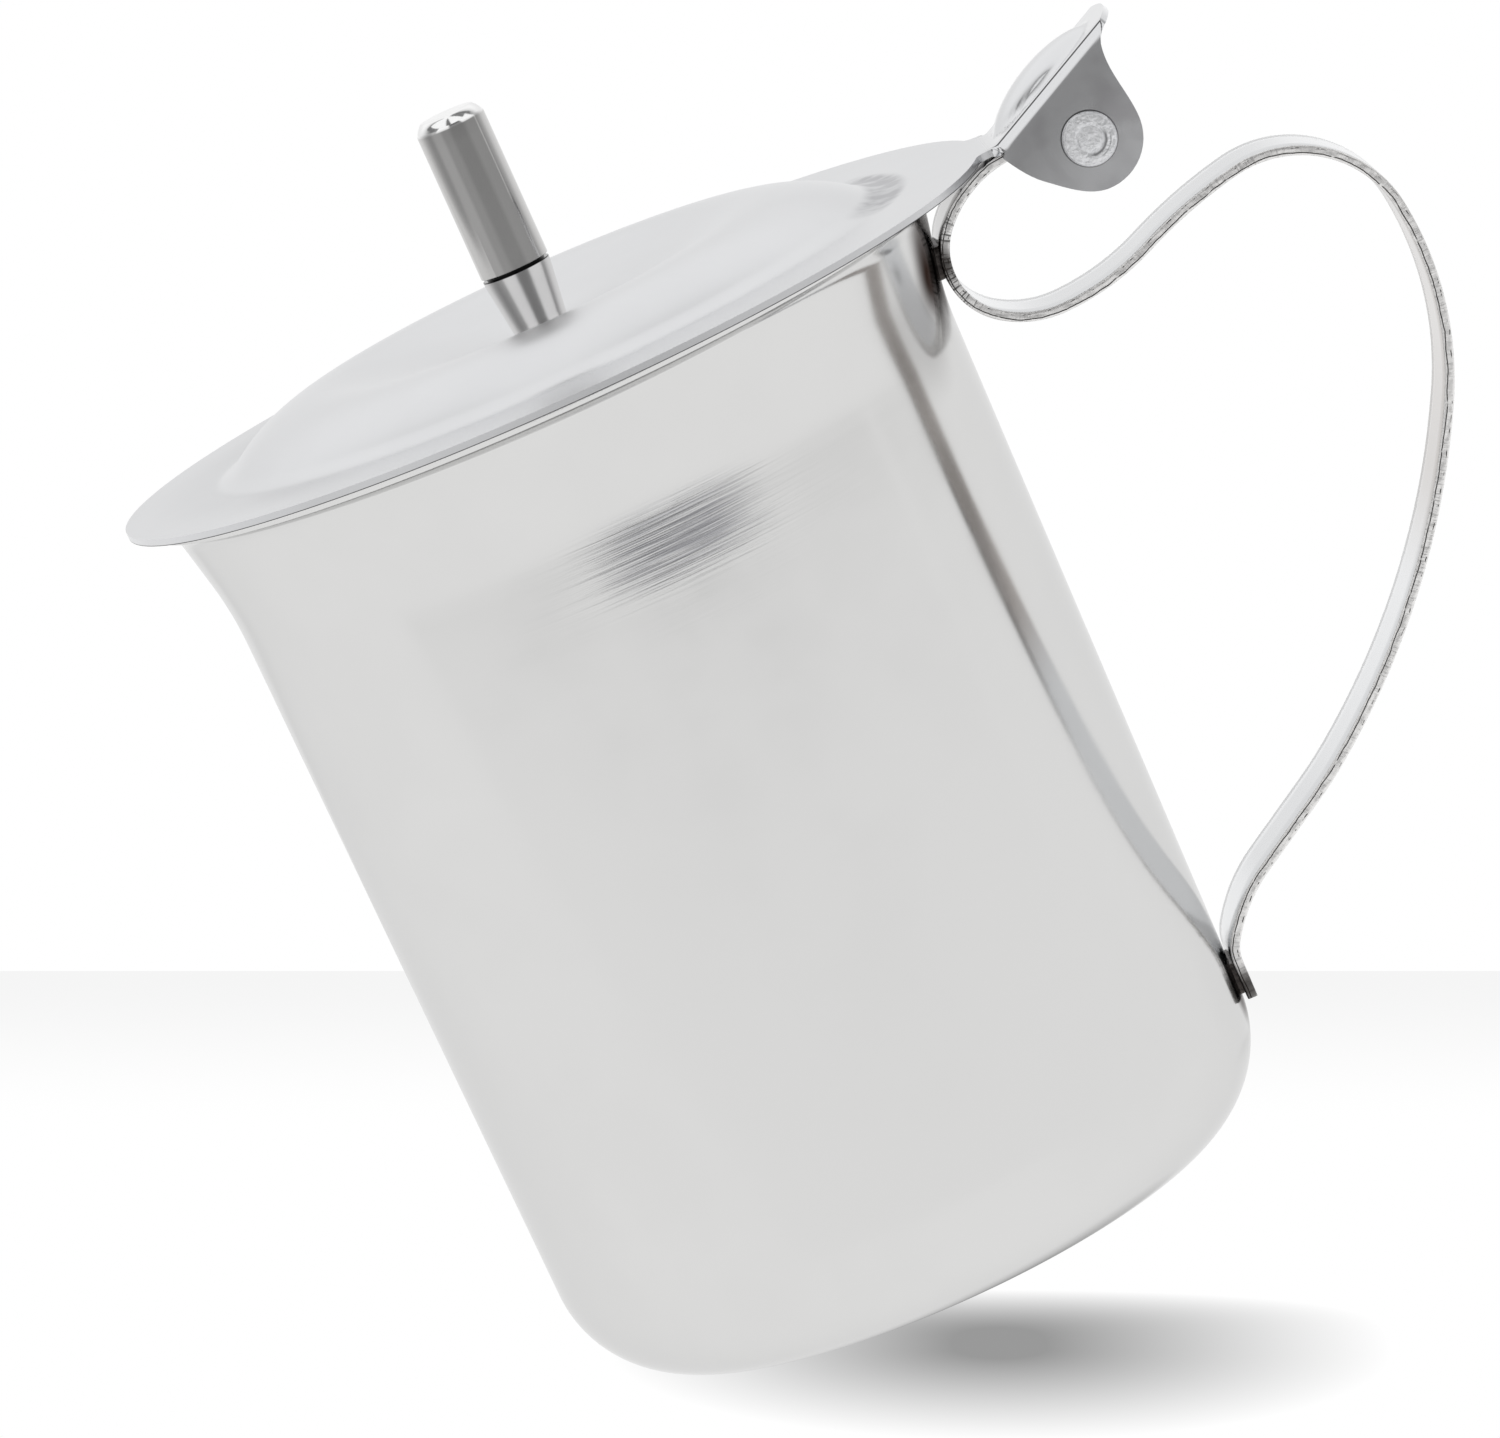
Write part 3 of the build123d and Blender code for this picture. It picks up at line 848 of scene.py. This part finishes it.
def lid_round(angles):
    """Dome and brim as the rings of a polar grid."""
    count = len(angles)
    verts = [(LID_SHIFT, 0, seat_top)]
    for r, z in dome[1:]:
        verts += [(LID_SHIFT + r * math.cos(a), r * math.sin(a), z) for a in angles]
    for k in range(1, BRIM_STEPS + 1):
        for a in angles:
            r = dome_radius + (brim_reach(a) - dome_radius) * (k / BRIM_STEPS)
            verts.append((LID_SHIFT + r * math.cos(a), r * math.sin(a), brim_top))
    faces = [(0, 1 + k, 1 + (k + 1) % count) for k in range(count)]
    for i in range(len(dome) + BRIM_STEPS - 2):
        here, ahead = 1 + i * count, 1 + (i + 1) * count
        for k in range(count):
            k2 = (k + 1) % count
            faces.append((here + k, ahead + k, ahead + k2, here + k2))
    return verts, faces


def fold_at(w, grow):
    """Half width and depth of the column w from the middle, once the fold has grown to a share."""
    if w <= flat_half + 1e-9:
        return w, 0.0
    u = (w - flat_half) / FOLD_RADIUS
    a = rad(fold_turn) * u
    folded = flat_half + (FOLD_RADIUS - EAR_LEAN) * math.sin(a) / math.sin(rad(fold_turn))
    y = (flat_half + FOLD_RADIUS * u) * (1 - grow) + folded * grow
    return y, FOLD_RADIUS * (1 - math.cos(a)) * grow


def bump_rise(along, y):
    """Height of the thumb bump: the top of an ellipsoid that runs softly into the flag."""
    inside = 1 - ((along - BUMP_CENTRE) / BUMP_HALF_LENGTH) ** 2 - (y / BUMP_HALF_WIDTH) ** 2
    h = BUMP_HEIGHT - BUMP_DEPTH + BUMP_DEPTH * math.sqrt(max(0.0, inside))
    if h <= BUMP_CUT:
        return 0.0
    return max(0.0, (h + math.sqrt(h * h + BUMP_BLEND)) / 2 - BUMP_BLEND / 2 / (abs(h) + 0.2))


def bend_point(at, y, depth):
    """Side-view point of the bend between neck and flag, turned up by an angle."""
    up = np.array([-math.sin(rad(at)), math.cos(rad(at))])
    return np.array([NECK_REACH, brim_top]) + bend_shift(FLAG_BEND, 0, at) - up * depth


def flag_point(at, y, depth):
    """Side-view point at a share of the flag's length, whose end is bowed."""
    bow = FLAG_BOW * (1 - (y / flag_half) ** 2)
    reach = FLAG_LENGTH if depth == 0 else float(np.interp(depth, tip[:, 1], tip[:, 0]))
    along = at * (reach + bow)
    rise = bump_rise(along, y) if depth == 0 else 0.0
    return flag_foot + flag_along * along + flag_up * (rise - depth)


def add_flag(verts, faces, previous):
    """Adds bend and flag to the neck's last ring, and returns the two outermost vertices of each row."""
    stations = [(bend_point, FLAG_SLOPE * i / BEND_STEPS, i / BEND_STEPS) for i in range(1, BEND_STEPS + 1)]
    stations += [(flag_point, i / FLAG_STEPS, 1.0) for i in range(1, FLAG_STEPS + 1)]
    ends = []
    for point, at, share in stations:
        grow = share * share * (3 - 2 * share)
        row = []
        for c in columns:
            y, depth = fold_at(cross[abs(c)], grow)
            p = point(at, y, depth)
            row.append(len(verts))
            verts.append((p[0], -y if c < 0 else y, p[1]))
        for j in range(len(columns) - 1):
            faces.append((previous[j], row[j], row[j + 1], previous[j + 1]))
        ends.append((row[0], row[-1]))
        previous = row
    return ends


def add_ear(verts, faces, tops, sign):
    """Adds one ear, ruled from the fold's lower edge to the side outline."""
    top_points = [to_flag([verts[i][0], verts[i][2]]) for i in tops]
    below = outline[1:][outline[1:, 1] > EAR_FROM]
    rim = np.r_[top_points[:1], below, top_points[-1:]]
    d = np.r_[0, np.cumsum(np.linalg.norm(np.diff(rim, axis=0), axis=1))]
    target = d[-1] * np.linspace(0, 1, len(tops))
    rim = np.stack([np.interp(target, d, rim[:, k]) for k in (0, 1)], 1)
    previous = tops
    for k in range(1, EAR_ROWS + 1):
        share = k / EAR_ROWS
        row = [tops[0]]
        for top, bottom in zip(top_points[1:-1], rim[1:-1]):
            along, depth = top * (1 - share) + bottom * share
            q = flag_foot + flag_along * along - flag_up * depth
            lean = EAR_LEAN * math.exp(-max(0.0, depth - FOLD_RADIUS) / EAR_EASE)
            row.append(len(verts))
            verts.append((q[0], sign * (flag_half - lean), q[1]))
        row.append(tops[-1])
        for i in range(len(tops) - 1):
            corners = list(dict.fromkeys([previous[i], previous[i + 1], row[i + 1], row[i]]))
            if len(corners) > 2:
                faces.append(tuple(corners if sign > 0 else corners[::-1]))
        previous = row


def lid_mesh():
    """The lid as one sheet: a polar grid for dome and brim, whose middle columns run on into the flag."""
    angles, first_angle = lid_angles()
    verts, faces = lid_round(angles)
    first = len(verts) - len(angles) + angles.index(first_angle)
    ends = add_flag(verts, faces, [first + j for j in range(len(columns))])
    for side, sign in ((0, -1), (1, 1)):
        add_ear(verts, faces, [row[side] for row in ends[BEND_STEPS - 2:]], sign)
    return verts, faces


verts, faces = lid_mesh()
sheet_piece("lid_sheet", verts, faces, LID_SHEET, LID_EDGE_ROUND, "lid", "lid", LID)

# Rivet and knob


def around_y(p):
    """A lathe's axis laid along -Y through the pivot."""
    return (PIVOT[0] + p[0], -p[2], PIVOT[1] + p[1])


def around_knob(p):
    return (KNOB_SHIFT + p[0], p[1], p[2])


def rivet_profile():
    """Domed near head with the ring its peening left, shank, and plain rounded head behind."""
    face, r = flag_half + HEAD_HEIGHT, HEAD_RADIUS
    quarter = [rad(a) for a in range(0, 91, 10)]
    profile = [(0, face - 2 * PEEN_SINK)]
    for x in np.linspace(0.1, r - HEAD_ROUND, 30):
        dip = PEEN_DEPTH * math.exp(-(((x - PEEN_RING) / PEEN_WIDTH) ** 2))
        profile.append((x, face - PEEN_SINK - HEAD_BOW * (x / r) ** 3 - dip))
    for a in quarter:
        height = face - HEAD_BOW - HEAD_ROUND * (1 - math.cos(a))
        profile.append((r - HEAD_ROUND + HEAD_ROUND * math.sin(a), height))
    profile += [(r, flag_half), (RIVET_RADIUS, flag_half), (RIVET_RADIUS, -flag_half), (r, -flag_half)]
    for a in quarter:
        height = -flag_half - BACK_ROUND - BACK_ROUND * math.sin(a)
        profile.append((r - BACK_ROUND * (1 - math.cos(a)), height))
    return profile + [(0, -face)]


verts, faces = lathe(rivet_profile()[::-1], RIVET_SEGMENTS, around_y)
solid_piece("rivet", verts, faces, "lid", "hinge_rivet", RIVET, 40)

grip_bottom = seat_top + COLLAR_HEIGHT
grip_top = grip_bottom + GRIP_LENGTH
slot_floor = KNOB_RADIUS - SLOT_DEPTH
slot_top, side_bottom = grip_bottom + SLOT, grip_bottom + GROOVE

# The grip's top edge, as (inwards, upwards) from the end of its straight side
top_edge = [(0.0, 0.0)]
for radius, start, end in GRIP_EDGE:
    r0, z0 = top_edge[-1]
    for k in range(1, ARC_PARTS + 1):
        a = start + (end - start) * k / ARC_PARTS
        inwards = radius * (math.cos(rad(a)) - math.cos(rad(start)))
        top_edge.append((r0 + inwards, z0 + radius * (math.sin(rad(a)) - math.sin(rad(start)))))
side_top = grip_top - top_edge[-1][1]

profile = [(0, grip_bottom), (slot_floor, grip_bottom), (slot_floor, slot_top)]
profile += [(KNOB_RADIUS - SLOT_ROUND, slot_top), (KNOB_RADIUS, slot_top + SLOT_ROUND)]
profile += [(KNOB_RADIUS, side_bottom + (side_top - side_bottom) * k / 10) for k in range(1, 10)]
profile += [(KNOB_RADIUS + inwards, side_top + up) for inwards, up in top_edge]
flat_radius = profile[-1][0]
profile += [(flat_radius * k / 5, grip_top) for k in (4, 3, 2, 1, 0)]
verts, faces = lathe(profile, KNOB_SEGMENTS, around_knob)
solid_piece("grip", verts, faces, "lid", "knob_grip", GRIP, 30)

slot_bottom = grip_bottom - SLOT
taper, widening = COLLAR_HEIGHT - GROOVE, KNOB_RADIUS - COLLAR_FOOT
profile = [(SCREW_HOLE, seat_top), (COLLAR_FOOT - COLLAR_ROUND, seat_top)]
profile += [(COLLAR_FOOT, seat_top + COLLAR_ROUND)]
profile += [(COLLAR_FOOT + widening * k / 8, seat_top + taper * k / 8) for k in range(1, 8)]
profile += [(KNOB_RADIUS - COLLAR_LIP, slot_bottom - COLLAR_END), (KNOB_RADIUS - 2 * COLLAR_LIP, slot_bottom)]
profile += [(slot_floor, slot_bottom), (slot_floor, grip_bottom), (SCREW_HOLE, grip_bottom)]
verts, faces = ring_lathe(profile, KNOB_SEGMENTS, around_knob)
solid_piece("collar", verts, faces, "lid", "knob_collar", COLLAR, 30)

# The welds and the screw keep their CAD shapes
for name, material in (("upper_weld", WELD), ("lower_weld", WELD), ("knob_screw", SCREW)):
    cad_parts[name].data.materials.clear()
    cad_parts[name].data.materials.append(material)

# Local spots, added to the steels


def lip_top_shade(t):
    """The top of the cup's lip is painted black: painted shade of the dark gap under the brim."""
    x, y, z = t.place()
    r, _ = t.around(x, y)
    return t.times(t.ramp(z, CUP_HEIGHT - 0.2, CUP_HEIGHT - 0.1), t.ramp(r, 38.5, 38.7)), SHADE_BLACK


def brushed_tone(t):
    """The brushed patch of the wall looks cool and dark in the middle."""
    x, y, z = t.place()
    wide = t.times(t.ramp(x, -4.5, 2.0), t.ramp(x, 7.0, 14.5, 1.0, 0.0))
    tall = t.times(t.ramp(z, 70.6, 74.0), t.ramp(z, 75.6, 79.4, 1.0, 0.0))
    lines = t.ramp(t.noise((90, 90, 5200), 2.0, 0.6, (1, 2, 3)), 0.36, 0.62, 0.1, 0.62)
    return t.times(wide, tall, t.ramp(y, 0.0, -10.0), lines), (0.27, 0.275, 0.31)


def upper_side(t):
    return t.ramp(t.split(t.coordinates("Normal"))[2], -0.1, 0.1)


def brim_gap_shade(t):
    """The brim's lower edge is painted black along the gap to the cup's lip: painted shade."""
    x, y, z = t.place()
    r, _ = t.around(x, y, (LID_SHIFT, 0))
    low = t.ramp(z, brim_under + 0.1, brim_under + 0.03)
    return t.times(low, t.band(r, BRIM_RADIUS - 0.3, BRIM_RADIUS + 0.2, 0.06)), SHADE_BLACK


def rivet_seat_shadow(t):
    """A painted dark ring of contact shadow on the near ear, round the rivet's head."""
    x, y, z = t.place()
    r, _ = t.around(x, z, PIVOT)
    ring = t.band(r, HEAD_RADIUS - 0.2, HEAD_RADIUS + 0.09, 0.05)
    return t.times(ring, t.ramp(y, -5.5, -5.8, 0.0, 0.85)), SHADE_BLACK


def ear_cloud(t):
    """Faint dark clouds on the near ear."""
    x, y, _ = t.place()
    cloud = t.ramp(t.noise((230, 230, 230), 2.0, 0.5, (2, 1, 5)), 0.42, 0.7, 0.0, 0.3)
    return t.times(cloud, t.band(y, -6.9, -6.0, 0.1), t.ramp(x, 43.0, 44.0)), (0.3, 0.28, 0.3)


def fold_reflection_line(t):
    """A thin dark line painted along the top of each fold: a painted reflection."""
    x, y, _ = t.place()
    start, end = flat_half + 0.28 * FOLD_RADIUS, flat_half + 0.42 * FOLD_RADIUS
    return t.times(t.band(t.size(y), start, end, 0.03), t.ramp(x, 43.0, 44.5, 0.0, 0.9)), SHADE_BLACK


def brim_shade(t):
    """The brim is painted a little darker beside the dome's foot, at the pouring side: painted shade from the
    dome.
    """
    x, y, _ = t.place()
    r, a = t.around(x, y, (LID_SHIFT, 0))
    beside = t.times(t.ramp(r, dome_radius - 1.4, dome_radius - 0.4), t.ramp(r, 34.0, 41.0, 1.0, 0.25))
    return t.times(beside, t.ramp(t.size(a), 112.0, 140.0), upper_side(t), 0.17), (0.3, 0.3, 0.31)


def foot_crease_shade(t):
    """A broken dark crescent of painted shade in the hollow where the dome's foot meets the neck, on the
    upper side.
    """
    x, y, _ = t.place()
    r, a = t.around(x, y, (LID_SHIFT, 0))
    broken = t.ramp(t.noise((420, 420, 420), 2.0, 0.6, (4, 4, 4)), 0.3, 0.62, 0.45, 1.0)
    crescent = t.times(t.band(r, 31.3, 34.6, 0.6), t.band(a, -22.0, 24.0, 5.0))
    return t.times(crescent, broken, upper_side(t), 0.75), (0.28, 0.28, 0.3)


def rivet_painted_shade(t):
    """Painted shade: a dark foot all round the head where it meets the ear, and two thin dark crescents in
    the peening's grooves at its lower right.
    """
    x, y, z = t.place()
    r, a = t.around(x, z, PIVOT)
    inner = t.times(t.band(r, 1.35, 1.55, 0.09), t.band(a, -110.0, 5.0, 14.0), 0.75)
    outer = t.times(t.band(r, 1.8, 1.92, 0.06), t.band(a, -80.0, -5.0, 14.0), 0.5)
    foot = t.times(t.ramp(t.size(y), flag_half + 0.3, flag_half + 0.12), 0.9)
    return t.most(inner, outer, foot), (0.1, 0.1, 0.105)


def knob_joint_shade(t):
    """The black line where the grip meets the collar: painted shade in the slot between them."""
    return t.band(t.place()[2], grip_bottom - 0.22, grip_bottom + 0.1, 0.04), (0.012, 0.012, 0.012)


def grip_top_highlight(t):
    """The grip's rounded top edge and flat end are painted brighter than its side: a painted highlight."""
    return t.ramp(t.place()[2], side_top, side_top + 0.35), (0.93, 0.93, 0.93)


tint(CUP, (lip_top_shade, brushed_tone))
tint(LID, (brim_gap_shade, rivet_seat_shadow, ear_cloud, fold_reflection_line, brim_shade, foot_crease_shade))
tint(RIVET, (rivet_painted_shade,))
tint(GRIP, (knob_joint_shade, grip_top_highlight))
tint(COLLAR, (knob_joint_shade,))

# Camera, solved from the photograph: pixels, millimetres and degrees
PHOTO_WIDE, PHOTO_HIGH = 1500, 1438
FOCAL = 11053.4
SENSOR_WIDE = 36.0
DISTANCE = 1000.0
ELEVATION = 9.79
AZIMUTH = 0.7
AIM_HEIGHT = 45.0
TILT = (-0.43, -0.02, -24.35)

az, el = rad(AZIMUTH), rad(ELEVATION)
level_out = Vector((-math.sin(az) * math.cos(el), math.cos(az) * math.cos(el), -math.sin(el)))
level_right = Vector((math.cos(az), math.sin(az), 0))
level_down = level_out.cross(level_right)
tilt_x, tilt_y, tilt_z = [Matrix.Rotation(rad(angle), 3, axis) for angle, axis in zip(TILT, "XYZ")]
image_right, image_down, view_out = tilt_x @ tilt_y @ tilt_z @ Matrix((level_right, level_down, level_out))
eye = Vector((0, 0, AIM_HEIGHT)) - level_out * DISTANCE


def placed(origin, x, y, z):
    """World matrix of a frame, from its origin in millimetres and its three axes."""
    return Matrix.Translation(origin * MM) @ Matrix((x, y, z)).transposed().to_4x4()


camera_data = bpy.data.cameras.new("camera")
camera_data.sensor_width = SENSOR_WIDE
camera_data.lens = FOCAL * SENSOR_WIDE / PHOTO_WIDE
camera_data.clip_start, camera_data.clip_end = 0.01, 20
camera = linked("camera", camera_data)
camera.matrix_world = placed(eye, image_right, -image_down, -view_out)
bpy.context.scene.camera = camera

# Floor: a white board that ends behind the pitcher, level in the photograph's frame. Rows, columns and the
# shadow's sizes are pixels of the photograph, and the rest is millimetres and degrees
FLOOR_PITCH = 12.0
FLOOR_DEPTH = 30.0
FLOOR_LEFT, FLOOR_RIGHT, FLOOR_FRONT = -230.0, 120.0, -110.0
FLOOR_EDGE_ROW, FLOOR_WHITE_ROW = 971, 1125
SHADOW_AT = (1000, 1348)
SHADOW_HALF, SHADOW_ABOVE, SHADOW_BELOW = 390, 58, 92
SHADOW_CORE, SHADOW_DARK, MIRROR_LOSS = 0.12, 0.68, 0.06


def pixel_ray(column, row):
    """Direction of a pixel of the photograph, one millimetre deep."""
    d = image_right * (column - PHOTO_WIDE / 2) + image_down * (row - PHOTO_HIGH / 2) + view_out * FOCAL
    return d / d.dot(view_out)


down_share, out_share = math.cos(rad(FLOOR_PITCH)), math.sin(rad(FLOOR_PITCH))
floor_up = (-image_down * down_share - view_out * out_share).normalized()
floor_back = (view_out * down_share - image_down * out_share).normalized()
floor_right = floor_back.cross(floor_up).normalized()
shadow_spot = eye + pixel_ray(*SHADOW_AT) * (DISTANCE + FLOOR_DEPTH)


def on_floor(column, row):
    """Where a pixel's ray meets the floor, in the floor's own right and back coordinates."""
    d = pixel_ray(column, row)
    p = eye + d * ((shadow_spot - eye).dot(floor_up) / d.dot(floor_up)) - shadow_spot
    return p.dot(floor_right), p.dot(floor_back)


def floor_white(edge_back):
    """White with a painted soft shadow, a little grey at its far edge, and clear from below."""
    column, row = SHADOW_AT
    white_back = on_floor(PHOTO_WIDE / 2, FLOOR_WHITE_ROW)[1]
    half = on_floor(column + SHADOW_HALF, row)[0]
    above = on_floor(column, row - SHADOW_ABOVE)[1]
    below = on_floor(column, row + SHADOW_BELOW)[1]
    material, t, out = new_material("floor")
    x, y, _ = t.place()
    grey = t.ramp(y, edge_back, white_back, 0.915, 1.0)
    behind = t.math("POWER", t.most(t.over(y, above), 0.0), 2.0)
    before = t.most(t.over(y, below), 0.0)
    away = t.length(t.over(x, half), t.plus(behind, before))
    fade = t.math("SUBTRACT", 1.0, t.over(t.minus(away, SHADOW_CORE), 1 - SHADOW_CORE), clamp=True)
    light = t.times(grey, t.minus(1.0, t.times(fade, SHADOW_DARK)))
    mirrored = t.node("ShaderNodeLightPath").outputs["Is Glossy Ray"]
    light = t.times(light, t.minus(1.0, t.times(mirrored, MIRROR_LOSS)))
    glow = t.node("ShaderNodeEmission", {"Color": t.grey(light), "Strength": 1.0})
    from_below = t.node("ShaderNodeNewGeometry").outputs["Backfacing"]
    t.put(out.inputs["Surface"], t.blend(from_below, glow, t.node("ShaderNodeBsdfTransparent")))
    return material


edge_back = on_floor(PHOTO_WIDE / 2, FLOOR_EDGE_ROW)[1]
corners = [(FLOOR_LEFT, FLOOR_FRONT), (FLOOR_RIGHT, FLOOR_FRONT)]
corners += [(FLOOR_RIGHT, edge_back), (FLOOR_LEFT, edge_back)]
floor = linked("floor", mesh_of("floor", [(x, y, 0) for x, y in corners], [(0, 1, 2, 3)]))
floor.matrix_world = placed(shadow_spot, floor_right, floor_back, floor_up)
floor.data.materials.append(floor_white(edge_back))

# Card: a small dark thing in front of the cup, seen only as a soft reflection high on its wall
CARD_TURN, CARD_AWAY, CARD_HEIGHT = 11.0, 300.0, 32.5
CARD_HALF_WIDTH, CARD_HALF_HEIGHT = 240.0, 6.2


def card_ink():
    """Dark in the middle and clear at the rim."""
    material, t, out = new_material("card")
    x, _, z = t.place()
    away = t.length(t.over(x, CARD_HALF_WIDTH), t.over(z, CARD_HALF_HEIGHT))
    ink = t.node("ShaderNodeEmission", {"Color": (0.02, 0.02, 0.03, 1), "Strength": 1.0})
    cover = t.ramp(away, 0.95, 0.15)
    t.put(out.inputs["Surface"], t.blend(cover, t.node("ShaderNodeBsdfTransparent"), ink))
    return material


w, h = CARD_HALF_WIDTH, CARD_HALF_HEIGHT
card = linked("card", mesh_of("card", [(-w, 0, -h), (w, 0, -h), (w, 0, h), (-w, 0, h)], [(0, 1, 2, 3)]))
turn = rad(CARD_TURN)
card.location = Vector((math.sin(turn) * CARD_AWAY, -math.cos(turn) * CARD_AWAY, CARD_HEIGHT)) * MM
card.rotation_euler.z = turn
for kind in ("camera", "diffuse", "shadow", "transmission", "volume_scatter"):
    setattr(card, "visible_" + kind, False)
card.data.materials.append(card_ink())

# Studio: white to the camera, and to the metal a light tent with a dark room behind the camera


def back_wall(t, azim, elev):
    """The back of the tent is a little darker than the white table in front, most of all low down."""
    back = t.ramp(t.size(azim), 70.0, 115.0)
    low = t.plus(t.ramp(elev, 14.0, 36.0, 0.87, 1.0), t.times(0.13, t.ramp(elev, 9.0, 3.0)))
    return t.plus(t.times(back, t.minus(low, 1.0)), 1.0)


def gloom(t, azim, elev):
    """Brightness of the dark room, with a darker upright in it and three lighter ones."""
    level = 0.4
    uprights = ((-0.1, -10.0, 42.0, 10.0), (0.15, -74.0, -40.0, 8.0))
    uprights += ((0.5, 86.5, 89.5, 1.0), (0.3, 118.0, 160.0, 12.0))
    for change, start, end, soft in uprights:
        level = t.plus(level, t.times(change, t.band(azim, start, end, soft)))
    return t.times(level, t.ramp(elev, 24.0, 40.0, 1.0, 0.45))


def windows(t, azim, elev):
    """A low pair that the collar sees off the lid, and a high pair that the grip's top edge sees."""
    low = t.plus(t.band(azim, -56.0, -8.0, 4.0), t.band(azim, 38.0, 92.0, 4.0))
    low = t.times(low, t.ramp(elev, 2.0, 18.0), t.ramp(elev, 51.0, 54.0, 1.0, 0.0))
    high = t.plus(t.band(azim, -108.0, -20.0, 3.0), t.band(azim, 3.0, 66.0, 3.0))
    return t.most(low, t.times(high, t.ramp(elev, 50.0, 53.0)))


def room_share(t, azim, elev):
    """1 in the dark room: above the table, below the zenith, wider high up, and not in its windows."""
    tall = t.times(t.ramp(elev, -8.8, -7.6), t.ramp(elev, 78.0, 88.0, 1.0, 0.0))
    wide = t.ramp(t.size(azim), 85.0, 140.0, 1.0, 0.0)
    sides = t.times(t.ramp(elev, 34.0, 42.0), t.band(azim, -118.0, 114.0, 8.0))
    return t.times(tall, t.most(wide, sides), t.minus(1.0, windows(t, azim, elev)))


world = bpy.data.worlds.new("studio")
bpy.context.scene.world = world
world.use_nodes = True
t = Tree(world.node_tree)
world_out = t.node("ShaderNodeOutputWorld")
x, y, z = t.split(t.coordinates("Generated"))
azim = t.degrees(t.math("ARCTAN2", x, t.times(y, -1.0)))
elev = t.degrees(t.math("ARCSINE", z))
tent = t.times(back_wall(t, azim, elev), t.ramp(elev, -8.8, -6.0, 0.94, 1.0))
level = t.plus(tent, t.times(room_share(t, azim, elev), t.minus(gloom(t, azim, elev), tent)))
to_metal = t.node("ShaderNodeBackground", {"Color": t.grey(level), "Strength": 1.0})
to_camera = t.node("ShaderNodeBackground", {"Color": (1, 1, 1, 1), "Strength": 1.0})
seen = t.node("ShaderNodeLightPath").outputs["Is Camera Ray"]
t.put(world_out.inputs["Surface"], t.blend(seen, to_metal, to_camera))

bpy.context.scene.view_settings.view_transform = "Standard"
